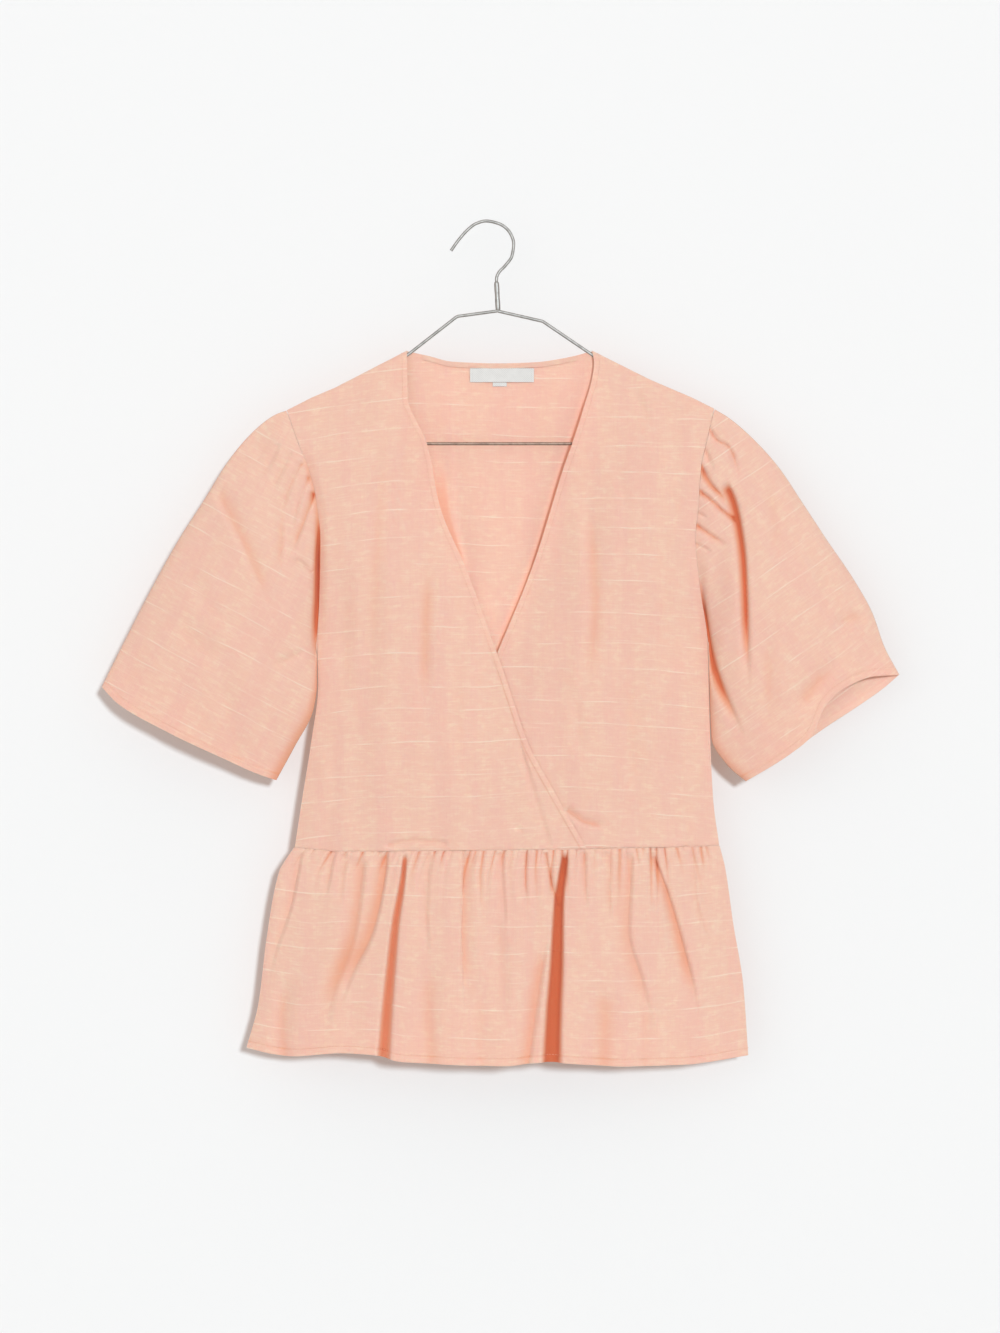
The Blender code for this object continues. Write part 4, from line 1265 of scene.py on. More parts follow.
@dataclass
class Bodice:
    """The two wrapped fronts, the back and the band inside its neck."""

    form: BodyForm
    finishes: Finishes
    wall: float = 0.8
    pitch_across: float = 2.0
    hem_width: float = 5.6
    seam_roll: float = 0.5
    layer_step: float = 1.7
    layer_fade: float = 70.0
    front_rumple: float = 1.35
    back_rumple: float = 0.8
    # Strengths of the painted shade in the creases and along the armhole valleys
    crease_painted_shade: float = 0.8
    valley_painted_shade: float = 0.9
    waist: Profile = Profile(WAIST)
    neck_drop: Profile = Profile(BACK_NECK)
    stitch_lines: dict[str, list[Array]] = field(default_factory=dict)

    def roll(self, x: Array, drop: Array) -> Array:
        """How far the cloth turns in at the waist seam and at the armholes."""
        to_waist = np.maximum(self.waist(x) - drop, 0)
        return self.seam_roll * np.exp(-((to_waist / 1.2) ** 2))

    def armhole(self, x: Array, drop: Array) -> Array:
        """How far the bodice sinks along its armhole seams."""
        edge = np.where(x < 0, self.form.left_x(drop), self.form.right_x(drop))
        return self.form.valley(x, drop, np.abs(np.abs(edge) - np.abs(x)))

    def front_depth(self, x: Array, drop: Array) -> tuple[Array, Array]:
        """The front's distance from the hanger's plane.

        Args:
            x: The points' x.
            drop: The points' drop.

        Returns:
            The depths, and the crease and valley depths that set the painted shade.
        """
        calm = self.form.calm(x, drop)
        creases, shown = (part * calm for part in total_depth(BODICE_FRONT_CREASES, x, drop))
        valley = self.armhole(x, drop)
        depth = self.form.depth(x, drop, self.form.front) + self.front_rumple * undulation(x, drop) * calm
        depth = depth - creases - valley - self.form.dip(x, drop) - self.roll(x, drop)
        return depth, shown + self.valley_painted_shade * valley

    def edge_painted_shade(self, inward: Array, drop: Array) -> Array:
        """The faint painted shade along a wrap edge's stitching groove, stronger below the V."""
        return (0.05 + 0.2 * smooth_step((drop - 250) / 60)) * stitch_groove(inward, self.hem_width)

    def edge_relief(self, inward: Array, drop: Array) -> Array:
        """The turned wrap edge's relief, which shows most below the V."""
        return (0.35 + 0.75 * smooth_step((drop - 258) / 40)) * hem_relief(inward, self.hem_width)

    @staticmethod
    def slant(profile: Profile, drop: Array) -> Array:
        """Cosine of a wrap edge's slant, which turns a level distance into the square one."""
        slope = (profile(drop + 2.0) - profile(drop - 2.0)) / 4.0
        return 1 / np.sqrt(1 + slope ** 2)

    def rows(self, length: float) -> Array:
        """Shares of the way down a piece, fine at the shoulder and the waist."""
        return divisions(Span(3.0, 0.75), Span(length - 117, 2.8), Span(110.0, 1.5), Span(4.0, 0.7))

    def over_panel(self) -> Panel:
        """Builds the front that laps over, from its armhole to its wrap edge.

        Returns:
            The panel.
        """
        left = edge_between(self.form.left_x, LEFT_EDGE[0].drop, LEFT_EDGE[-1].drop)
        right = edge_between(self.form.over_x, OVER_EDGE[0].drop, OVER_EDGE[-1].drop)
        top = edge_across(shoulder_drop, SHOULDERS[0].x, OVER_EDGE[0].x)
        bottom = edge_across(self.waist, LEFT_EDGE[-1].x, OVER_EDGE[-1].x)
        width = OVER_EDGE[-1].x - LEFT_EDGE[-1].x
        across = divisions(Span(9.0, 0.9), Span(width - 22, self.pitch_across), Span(13.0, 0.8))
        x, drop = coons(top, bottom, left, right, across, self.rows(LEFT_EDGE[-1].drop))
        inward = np.maximum(self.form.over_x(drop) - x, 0) * self.slant(self.form.over_x, drop)
        depth, hollow = self.front_depth(x, drop)
        # Painted shade in the creases, along the armhole valley and in the wrap edge's stitching groove
        painted_shading = self.crease_painted_shade * painted_fold_shade(hollow) + self.edge_painted_shade(inward, drop)
        panel = Panel("front_over_cloth", place(x, depth + self.edge_relief(inward, drop), drop),
                      self.weave_map(x, drop, -0.03), painted_shading)
        self.stitch_lines["wrap_over"] = [panel.line_at(inward, self.hem_width - STITCH_INSET,
                                                        self.wall / 2 + STITCH_LIFT)]
        return panel

    def under_panel(self) -> Panel:
        """Builds the front that is lapped over, which runs on inside the other to its own wrap edge.

        Returns:
            The panel.
        """
        left = edge_between(self.form.under_x, UNDER_EDGE[0].drop, UNDER_EDGE[-1].drop)
        right = edge_between(self.form.right_x, RIGHT_EDGE[0].drop, RIGHT_EDGE[-1].drop)
        top = edge_across(shoulder_drop, UNDER_EDGE[0].x, SHOULDERS[-1].x)
        bottom = edge_across(self.waist, UNDER_EDGE[-1].x, RIGHT_EDGE[-1].x)
        width = RIGHT_EDGE[-1].x - UNDER_EDGE[-1].x
        across = divisions(Span(13.0, 0.8), Span(width - 22, self.pitch_across), Span(9.0, 0.9))
        x, drop = coons(top, bottom, left, right, across, self.rows(RIGHT_EDGE[-1].drop))
        inward = np.maximum(x - self.form.under_x(drop), 0) * self.slant(self.form.under_x, drop)
        beyond = x - self.form.over_x(drop)
        under = (1 - smooth_step(beyond / self.layer_fade)) * smooth_step((drop - 150) / 60)
        depth, hollow = self.front_depth(x, drop)
        seen = smooth_step(beyond / 3.0)
        depth = depth - self.layer_step * under + self.edge_relief(inward, drop) * seen
        # Painted shade in the creases, along the armhole valley and in the wrap edge's stitching groove where
        # it shows
        painted_shading = self.crease_painted_shade * painted_fold_shade(hollow) + self.edge_painted_shade(inward, drop) * seen
        panel = Panel("front_under_cloth", place(x, depth, drop), self.weave_map(x, drop - 13.0, 0.045), painted_shading)
        line = panel.line_at(inward, self.hem_width - STITCH_INSET, self.wall / 2 + STITCH_LIFT)
        self.stitch_lines["wrap_under"] = [line[line[:, 2] > -(SHOULDER_DROP + 270) * MM]]
        return panel

    def back_depth(self, x: Array, drop: Array) -> tuple[Array, Array]:
        """The back's distance behind the hanger's plane, and how much of it is crease.

        Args:
            x: The points' x.
            drop: The points' drop.

        Returns:
            The depths and the creases' share of them.
        """
        calm = self.form.calm(x, drop)
        creases, shown = (part * calm for part in total_depth(BODICE_BACK_CREASES, x, drop))
        valley = 0.6 * self.armhole(x, drop)
        depth = self.form.depth(x, drop, self.form.back) + self.back_rumple * undulation(x + 40, drop) * calm
        depth = depth - self.form.neck_rise * np.exp(-((x / 62) ** 2) - ((drop - 210) / 80) ** 2)
        return depth - creases - valley - self.roll(x, drop), shown + valley

    def back_edges(self) -> tuple[Curve, Curve, Curve, Curve]:
        """The back's upper, lower, left and right edges."""
        def top_drop(x: Array) -> Array:
            """The drop of the shoulders and the neck between them."""
            in_neck = (x > BACK_NECK[0].x) & (x < BACK_NECK[-1].x)
            return np.where(in_neck, self.neck_drop(x), shoulder_drop(x))
        return (edge_across(top_drop, SHOULDERS[0].x, SHOULDERS[-1].x),
                edge_across(self.waist, LEFT_EDGE[-1].x, RIGHT_EDGE[-1].x),
                edge_between(self.form.left_x, LEFT_EDGE[0].drop, LEFT_EDGE[-1].drop),
                edge_between(self.form.right_x, RIGHT_EDGE[0].drop, RIGHT_EDGE[-1].drop))

    def back_panel(self) -> Panel:
        """Builds the back.

        Returns:
            The panel.
        """
        width = RIGHT_EDGE[-1].x - LEFT_EDGE[-1].x
        across = divisions(Span(9.0, 0.9), Span(width - 18, 2.6), Span(9.0, 0.9))
        x, drop = coons(*self.back_edges(), across, self.rows(LEFT_EDGE[-1].drop))
        depth, creases = self.back_depth(x, drop)
        # Painted shade from the creases on both skins; the inner skin also gets the painted shade, painted
        # light and painted glow round the V neck
        outside = 0.5 * painted_fold_shade(creases)
        painted_shading, shine = self.neck_painted_shading(x, drop)
        inside = np.minimum(outside + painted_shading, 1)
        return Panel("back_cloth", place(x, -depth, drop), self.weave_map(x, drop - 7.0, 0.0), inside,
                     second_hollow=outside, shine=shine)

    def neck_painted_shading(self, x: Array, drop: Array) -> tuple[Array, Array]:
        """The painted shade on the back beside the V neck's edges, painted light between them, and the
        painted glow that stands in for light coming through the fronts.

        Args:
            x: The grid's x.
            drop: The grid's drop.

        Returns:
            The hollow's change and the shine, both at most 1.
        """
        from_left, from_right = x - self.form.over_x(drop), self.form.under_x(drop) - x
        # Painted shade: a thin line where the under front's edge shades the back, and a wedge beside the over
        # front's edge
        right = np.exp(-((from_right / 4.5) ** 2)) * smooth_step((drop + 20) / 90)
        wide = 10.0 * np.clip((196 - drop) / 76, 0, 1)
        left = 1 - smooth_step((from_left - wide) / 7 + 0.3)
        left = left * smooth_step((drop - 76) / 60) * smooth_step((198 - drop) / 16)
        seen = smooth_step(np.minimum(from_left, from_right) / 8 + 1)
        seen = seen * smooth_step((self.form.crossing + 10 - drop) / 8)
        # Away from both edges the share falls below 0, which paints light
        painted_shading = 0.42 * right + 0.3 * left - 0.1 * (1 - left) * (1 - right)
        # Painted glow: most along the under front's edge, less beside the over front's edge and low in the V
        beside = np.exp(-((from_left / 11) ** 2)) * smooth_step((drop - 20) / 60)
        shine = 0.3 * right + 0.12 * left + 0.1 * beside + 0.1 * smooth_step((drop - 190) / 90)
        return painted_shading * seen, shine * seen

    def binding_panel(self, height: float = 4.6, reach: float = 70.0, lift: float = 1.15) -> Panel:
        """Builds the narrow band inside the back neck.

        Args:
            height: How far it comes down.
            reach: How far it runs from the middle to each side.
            lift: How far its middle stands off the middle of the back.

        Returns:
            The panel.
        """
        x, down = np.meshgrid(np.linspace(-reach, reach, 141), np.linspace(0.0, height, 8))
        drop = self.neck_drop(x) + down
        depth, _ = self.back_depth(x, drop)
        weave = np.stack([x, down], axis=-1) * MM
        return Panel("back_neck_binding_cloth", place(x, -depth + lift, drop), weave, np.zeros_like(x))

    @staticmethod
    def weave_map(x: Array, drop: Array, fall: float) -> Array:
        """The weave's map on a bodice piece.

        Args:
            x: The grid's x.
            drop: The grid's drop.
            fall: How much the weft falls for each step to the right.

        Returns:
            Two coordinates for each point, in metres.
        """
        sag = 1.6 * np.sin(x / 38.0 + drop / 160.0)
        bow = 0.0004 * np.minimum(x + 60, 0) ** 2 if fall < 0 else 0.0
        return np.stack([x, fall * x + bow + sag - drop], axis=-1) * MM

    def build(self) -> list[Piece]:
        """Returns:
            The pieces.
        """
        plan = (
            (self.over_panel(), "front_over", (0.285, 0.455), 0.088),
            (self.under_panel(), "front_under", (0.295, 0.455), 0.096),
            (self.back_panel(), "back", (0.395, 0.455), 0.166),
        )
        pieces = []
        for panel, node, flat, area in plan:
            piece = panel.wall(self.wall, self.finishes.cotton)
            declare(piece, node)
            pieces.append(piece)
        band = self.binding_panel().wall(0.7, self.finishes.cotton)
        declare(band, "back_neck_binding")
        return [*pieces, band]


@dataclass
class Peplum:
    """The two gathered skirt pieces below the waist seam."""

    form: BodyForm
    finishes: Finishes
    wall: float = 0.8
    seam_gap: float = 0.3
    hem_width: float = 7.2
    length: float = 190.0
    least_depth: float = 0.45
    # Strengths of the painted shade in the gathers and in the hem's stitching groove
    gather_painted_shade: float = 0.34
    hem_painted_shade: float = 0.2
    waist: Profile = Profile(WAIST)
    hem: Profile = Profile(HEM)
    left_x: Profile = Profile(PEPLUM_LEFT_EDGE)
    right_x: Profile = Profile(PEPLUM_RIGHT_EDGE)
    gathers_front: Gathers = Gathers(count=52, depth=2.9, length=25.0, half_width=1.5, seed=8)
    gathers_back: Gathers = Gathers(count=48, depth=2.5, length=22.0, half_width=1.7, seed=11)
    stitch_lines: dict[str, list[Array]] = field(default_factory=dict)

    def panel(self, name: str, side: int, middle: Profile, creases: Sequence[Crease], gathers: Gathers,
              pitch: float) -> Panel:
        """Builds one skirt piece.

        Args:
            name: The piece's name.
            side: 1 for the front and -1 for the back.
            middle: The depth in its middle.
            creases: Its creases.
            gathers: Its gathers.
            pitch: The step between its columns.

        Returns:
            The panel.
        """
        width = RIGHT_EDGE[-1].x - LEFT_EDGE[-1].x
        left = edge_between(self.left_x, self.waist(LEFT_EDGE[-1].x) + self.seam_gap, HEM[0].drop)
        right = edge_between(self.right_x, self.waist(RIGHT_EDGE[-1].x) + self.seam_gap, HEM[-1].drop)
        top = edge_across(lambda x: self.waist(x) + self.seam_gap, PEPLUM_LEFT_EDGE[0].x,
                          PEPLUM_RIGHT_EDGE[0].x)
        bottom = edge_across(self.hem, HEM[0].x, HEM[-1].x)
        across = divisions(Span(width, pitch))
        down = divisions(Span(4.0, 0.8), Span(self.length - 13.0, 2.1), Span(9.0, 0.8))
        x, drop = coons(top, bottom, left, right, across, down)
        share = np.tile(across, (len(down), 1))
        fall, to_hem = column_falls(x, drop)
        crown = np.sin(np.pi * share) ** self.form.side_roundness
        near_side = smooth_step(np.minimum(share, 1 - share) / 0.05)
        folds, shown = total_depth(creases, x, drop)
        drawn = gathers.depth_at(share * width, fall, width)
        swell = 1.3 * (1 - np.exp(-fall / 5)) * np.exp(-fall / 34)
        roll = 0.6 * np.exp(-((fall / 1.2) ** 2))
        slow = undulation(1.1 * x + 60 * side, drop) * smooth_step(fall / 30)
        depth = self.form.edge_depth + middle(drop) * crown
        depth = depth + (slow + swell - folds - drawn) * near_side - roll
        depth = np.maximum(depth, self.least_depth) + hem_relief(to_hem, self.hem_width)
        # Painted shade in the folds, the gathers and the hem's stitching groove
        hollow = painted_fold_shade(shown) + self.gather_painted_shade * smooth_step((drawn - 0.5) / 2.2)
        hollow = np.minimum(hollow * near_side, 1) + self.hem_painted_shade * stitch_groove(to_hem, self.hem_width)
        weft = fall / (fall + to_hem) * self.length
        panel = Panel(name, place(x, side * depth, drop), np.stack([x, -weft], axis=-1) * MM, hollow)
        row = int(np.argmin(np.abs(to_hem[:, 0] - self.hem_width + STITCH_INSET)))
        self.stitch_lines[name] = [panel.moved(side * (self.wall / 2 + STITCH_LIFT))[row]]
        return panel

    def build(self) -> list[Piece]:
        """Returns:
            The pieces.
        """
        front = self.panel("peplum_front_cloth", 1, self.form.front, PEPLUM_FRONT_CREASES,
                           self.gathers_front, 1.0)
        back = self.panel("peplum_back_cloth", -1, self.form.back, PEPLUM_BACK_CREASES,
                          self.gathers_back, 1.5)
        pieces = []
        for panel, node, seam in ((front, "peplum_front", "front_over"), (back, "peplum_back", "back")):
            piece = panel.wall(self.wall, self.finishes.cotton)
            declare(piece, node)
            pieces.append(piece)
        return pieces


@dataclass
class Sleeve:
    """A short puff sleeve, gathered into its armhole and closed by an underarm seam."""

    name: str
    node: str
    form: BodyForm
    finishes: Finishes
    body_x: Profile
    top: Sequence[Across]
    under: Sequence[Across]
    hem_front: Sequence[Across]
    hem_back: Sequence[Across]
    front_creases: Sequence[Crease]
    back_creases: Sequence[Crease]
    wall: float = 0.8
    hem_width: float = 6.8
    armhole_gap: float = 0.3
    room: float = 0.4
    turn_share: float = 0.006
    end_share: float = 0.02
    front_columns: int = 156
    back_columns: int = 90
    roundness: float = 0.64
    swell: float = 3.0
    # Painted shade along the underside fold; painted light that pales and lights the inside of the back half
    # near the mouth; painted glow in the deep creases low down
    shade: float = 0.3
    mouth_reach: float = 60.0
    mouth_painted_light: float = 0.2
    mouth_light: float = 0.1
    crease_light: float = 0.2
    stitch_lines: dict[str, list[Array]] = field(default_factory=dict)

    def side(self) -> float:
        """-1 for the sleeve on the left and 1 for the one on the right."""
        return math.copysign(1.0, self.top[0].x)

    def shares(self, columns: int) -> Array:
        """Shares of the way from the underside fold to the top fold, with a few fine steps at both."""
        turn = np.linspace(0, self.turn_share, 4)
        return np.concatenate([turn[:-1], np.linspace(self.turn_share, 1 - self.turn_share, columns),
                               1 - turn[-2::-1]])

    def armhole(self, share: Array) -> Array:
        """The armhole edge, from underarm to shoulder: a seam's gap out from the bodice's own edge.

        Args:
            share: Shares of the way up.

        Returns:
            Flat points.
        """
        under, top = self.under[0], self.top[0]
        gap = self.side() * self.armhole_gap
        shifts = [under.x - self.body_x(under.drop), gap, gap, top.x - self.body_x(top.drop)]
        drop = under.drop + (top.drop - under.drop) * np.asarray(share, float)
        shift = np.interp(share, [0, self.end_share, 1 - self.end_share, 1], shifts)
        return np.stack([self.body_x(drop) + shift, drop], axis=-1)

    def half(self, hem: Sequence[Across], puff: Sequence[Puff], creases: Sequence[Crease],
             front: bool) -> tuple[Array, Array, Array, Array, Array]:
        """Builds the sleeve's front or back half, rows from armhole to hem.

        Args:
            hem: Its hem edge.
            puff: How far it stands out.
            creases: Its creases.
            front: Whether it is the front half.

        Returns:
            The x, drop, depth and hollows of its grid, and the distance of each point to the hem.
        """
        shares = self.shares(self.front_columns if front else self.back_columns)
        down = divisions(Span(4.0, 0.8), Span(70.0, 1.4), Span(122.0, 2.6), Span(9.0, 0.8))
        edges = (self.armhole, Route(hem), Route(self.under), Route(self.top))
        x, drop = coons(*edges, shares, down)
        share, fall = np.meshgrid(shares, down)
        clear = np.abs(self.body_x(drop)) + self.armhole_gap + self.room * smooth_step(fall / 0.04)
        x = self.side() * np.maximum(np.abs(x), np.where(fall > 0, clear, 0))
        along, to_hem = column_falls(x, drop)
        turn = np.sqrt(1 - (1 - np.minimum(np.minimum(share, 1 - share) / self.turn_share, 1)) ** 2)
        arm_drop = self.armhole(share)[..., 1]
        arm = self.form.edge_depth + self.form.side(arm_drop)
        away = smooth_step(fall / 0.35)
        volume = Profile(puff)(fall) * np.sin(np.pi * share) ** self.roundness
        depth = turn * ((1 - away) * arm + away * self.form.edge_depth) + away * volume
        inside = smooth_step(np.minimum(share, 1 - share) / 0.06)
        valley = self.form.valley(np.full_like(x, self.side()), arm_drop, along) * (1.0 if front else 0.6)
        bulge = self.swell * np.exp(-(((along - 17) / 13) ** 2)) * inside * smooth_step((share - 0.1) / 0.3)
        folds, shown = (part * inside for part in total_depth(creases, x, drop))
        folds = folds * smooth_step(along / 4 + 0.2)
        slow = 0.9 * undulation(0.8 * x + 0.5 * drop, 0.6 * drop - x) * inside * smooth_step(along / 18)
        roll = 0.4 * np.exp(-((along / 1.2) ** 2)) * inside
        depth = depth + bulge + slow - folds - valley - roll
        depth = np.maximum(depth, 0.0) + hem_relief(to_hem, self.hem_width) * inside
        # Painted shade in the creases, along the armhole valley, along the underside fold and in the hem's
        # stitching groove
        hollow = painted_fold_shade(shown + 1.2 * valley)
        under = np.exp(-((share / 0.045) ** 2)) * smooth_step(fall / 0.2)
        hollow = np.minimum(hollow + self.shade * under, 1) + 0.14 * stitch_groove(to_hem, self.hem_width)
        return x, drop, depth, hollow, to_hem

    def weave_map(self, x: Array, drop: Array) -> Array:
        """The weave's map in metres, whose weft runs along the hem."""
        run = np.array(self.hem_front[-1]) - np.array(self.hem_front[0])
        run = self.side() * run / np.linalg.norm(run)
        return np.stack([x * run[0] + drop * run[1], x * run[1] - drop * run[0]], axis=-1) * MM

    def panel(self) -> Panel:
        """Builds the sleeve as a ring of columns: up its front from the underside fold, then down its back.

        Returns:
            The panel.
        """
        front = self.half(self.hem_front, PUFF_FRONT, self.front_creases, True)
        back = [grid[:, -2:0:-1] for grid in self.half(self.hem_back, PUFF_BACK, self.back_creases, False)]
        x, drop, depth, hollow, to_hem = (np.concatenate(halves, axis=1) for halves in zip(front, back))
        facing = np.where(np.arange(x.shape[1]) < front[0].shape[1], 1.0, -1.0)
        # Painted light: near the mouth the back half's inside is paled and glows, and the deep creases low
        # down glow
        open_mouth = np.where(facing > 0, 0.0, smooth_step(1 - to_hem / self.mouth_reach))
        painted_crease_glow = self.crease_light * np.clip(hollow - 0.5, 0, 0.5) * smooth_step((drop - 170) / 40)
        skins = [(hollow, painted_crease_glow),
                 (hollow - self.mouth_painted_light * open_mouth, self.mouth_light * open_mouth)]
        (first, shine), (second, second_shine) = skins if self.side() > 0 else skins[::-1]
        panel = Panel(self.name, place(x, facing * depth, drop), self.weave_map(x, drop), first, ring=True,
                      second_hollow=second, shine=shine, second_shine=second_shine)
        row = int(np.argmin(np.abs(to_hem[:, self.front_columns // 2] - self.hem_width + STITCH_INSET)))
        line = panel.moved(self.side() * (self.wall / 2 + STITCH_LIFT))[row]
        self.stitch_lines[self.name] = [np.concatenate([line, line[:1]])]
        return panel

    def build(self) -> Piece:
        """Returns:
            The piece.
        """
        piece = self.panel().wall(self.wall, self.finishes.cotton)
        declare(piece, self.node)
        return piece


def declare(piece: Piece, node: str) -> None:
    """Rides a piece on the part's one body, in place of its solid.

    Args:
        piece: The piece.
        node: The solid that it stands for.
    """
    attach(piece, ROOT)
    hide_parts(node)
    LOG.info("%s: %d faces, in place of %s", piece.name, len(piece.data.polygons), node)


@dataclass
class Stitching:
    """Straight lockstitch rows, laid along lines on the cloth by Geometry Nodes."""

    material: Material
    pitch: float = 2.6
    length: float = 1.9
    thread: float = 0.34
    seed: int = 3

    def tree(self) -> bpy.types.NodeTree:
        """Builds the tree that sets a stitch at each step of a line.

        Returns:
            The tree.
        """
        group = bpy.data.node_groups.new("stitch_row", "GeometryNodeTree")
        face = group.interface
        face.new_socket("Geometry", in_out="INPUT", socket_type="NodeSocketGeometry")
        for name, value in (("Pitch", self.pitch), ("Length", self.length), ("Thread", self.thread)):
            face.new_socket(name, in_out="INPUT", socket_type="NodeSocketFloat").default_value = value * MM
        face.new_socket("Seed", in_out="INPUT", socket_type="NodeSocketInt").default_value = self.seed
        face.new_socket("Material", in_out="INPUT", socket_type="NodeSocketMaterial")
        face.new_socket("Geometry", in_out="OUTPUT", socket_type="NodeSocketGeometry")
        tree = Tree(group)
        inside = tree.add("NodeGroupInput").outputs
        outside = tree.add("NodeGroupOutput").inputs
        line = tree.add("GeometryNodeMeshToCurve")
        steps = tree.add("GeometryNodeResampleCurve", mode="LENGTH")
        bead = tree.add("GeometryNodeMeshUVSphere")
        size = tree.add("ShaderNodeCombineXYZ")
        shape = tree.add("GeometryNodeTransform")
        turn = tree.add("FunctionNodeAlignRotationToVector", axis="Z")
        uneven = tree.add("FunctionNodeRandomValue", data_type="FLOAT")
        copies = tree.add("GeometryNodeInstanceOnPoints")
        solid = tree.add("GeometryNodeRealizeInstances")
        dressed = tree.add("GeometryNodeSetMaterial")
        bead.inputs["Segments"].default_value = 6
        bead.inputs["Rings"].default_value = 4
        bead.inputs["Radius"].default_value = 0.5
        uneven.inputs[2].default_value = 0.85
        uneven.inputs[3].default_value = 1.1
        tree.join(inside["Geometry"], line.inputs["Mesh"])
        tree.join(line.outputs["Curve"], steps.inputs["Curve"])
        tree.join(inside["Pitch"], steps.inputs["Length"])
        for source, target in (("Thread", 0), ("Thread", 1), ("Length", 2)):
            tree.join(inside[source], size.inputs[target])
        tree.join(bead.outputs["Mesh"], shape.inputs["Geometry"])
        tree.join(size.outputs[0], shape.inputs["Scale"])
        tree.join(tree.add("GeometryNodeInputTangent").outputs[0], turn.inputs["Vector"])
        tree.join(inside["Seed"], uneven.inputs["Seed"])
        tree.join(steps.outputs["Curve"], copies.inputs["Points"])
        tree.join(shape.outputs["Geometry"], copies.inputs["Instance"])
        tree.join(turn.outputs["Rotation"], copies.inputs["Rotation"])
        tree.join(uneven.outputs[1], copies.inputs["Scale"])
        tree.join(copies.outputs["Instances"], solid.inputs["Geometry"])
        tree.join(solid.outputs["Geometry"], dressed.inputs["Geometry"])
        tree.join(inside["Material"], dressed.inputs["Material"])
        tree.join(dressed.outputs["Geometry"], outside["Geometry"])
        return group

    def build(self, name: str, lines: Sequence[Array], slot: str) -> Piece:
        """Sews rows of stitches along lines.

        Args:
            name: The piece's name.
            lines: Points of each line, in metres.
            slot: Not used.

        Returns:
            The piece, as a plain mesh.
        """
        points = np.concatenate(lines)
        edges = []
        start = 0
        for line in lines:
            edges += [(start + step, start + step + 1) for step in range(len(line) - 1)]
            start += len(line)
        guide = bpy.data.meshes.new(name + "_line")
        guide.from_pydata(points.tolist(), edges, [])
        piece = add_object(name, guide)
        modifier = piece.modifiers.new("stitches", "NODES")
        group = self.tree()
        modifier.node_group = group
        values = {"Pitch": self.pitch * MM, "Length": self.length * MM, "Thread": self.thread * MM,
                  "Seed": self.seed, "Material": self.material}
        for socket in group.interface.items_tree:
            if socket.in_out == "INPUT" and socket.name in values:
                modifier[socket.identifier] = values[socket.name]
        mesh = plain_mesh(piece)
        piece.modifiers.remove(modifier)
        piece.data = mesh
        mesh.shade_smooth()
        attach(piece, ROOT)
        LOG.info("%s: %d faces", name, len(mesh.polygons))
        return piece


@dataclass
class NeckLabel:
    """The woven label inside the back neck and the small tab under it, both blank."""

    bodice: Bodice
    finishes: Finishes
    centre_x: float = 1.8
    top: float = 15.4
    width: float = 57.6
    height: float = 12.5
    tab_width: float = 12.6
    tab_height: float = 3.6
    wall: float = 0.5
    lift: float = 1.15

    def panel(self, name: str, centre_x: float, top: float, width: float, height: float,
              curl: float) -> Panel:
        """Builds a flat trim on the inside of the back.

        Args:
            name: The piece's name.
            centre_x: The x of its middle.
            top: The drop of its upper edge.
            width: Its width.
            height: Its height.
            curl: How far its lower edge stands off.

        Returns:
            The panel.
        """
        across, down = np.meshgrid(np.linspace(-0.5, 0.5, 49), np.linspace(0, 1, 13))
        x, drop = centre_x + across * width, top + down * height
        depth, _ = self.bodice.back_depth(x, drop)
        bow = curl * down ** 2 * (1 - (2 * across) ** 4) + 0.12 * np.sin(across * 21) * down
        ends = 0.25 * smooth_step((np.abs(across) - 0.46) / 0.03)
        weave = np.stack([x, -drop], axis=-1) * MM
        return Panel(name, place(x, -depth + self.lift + bow + ends, drop), weave, np.zeros_like(x))

    def build(self) -> list[Piece]:
        """Returns:
            The pieces.
        """
        label_panel = self.panel("neck_label_tape", self.centre_x, self.top, self.width, self.height, 0.7)
        tab_top = self.top + self.height + 0.3
        tab_panel = self.panel("label_tab_tape", self.centre_x - 2, tab_top, self.tab_width,
                               self.tab_height, 0.3)
        label = label_panel.wall(self.wall, self.finishes.label)
        tab = tab_panel.wall(self.wall, self.finishes.label)
        lifted = label_panel.moved(self.wall / 2 + STITCH_LIFT)
        ends = Stitching(self.finishes.label_thread, pitch=1.6, length=1.2, thread=0.3).build(
            "label_stitches", [lifted[1:-1, 2], lifted[1:-1, -3]], "label")
        declare(label, "neck_label")
        declare(tab, "label_tab")
        return [label, tab, ends]


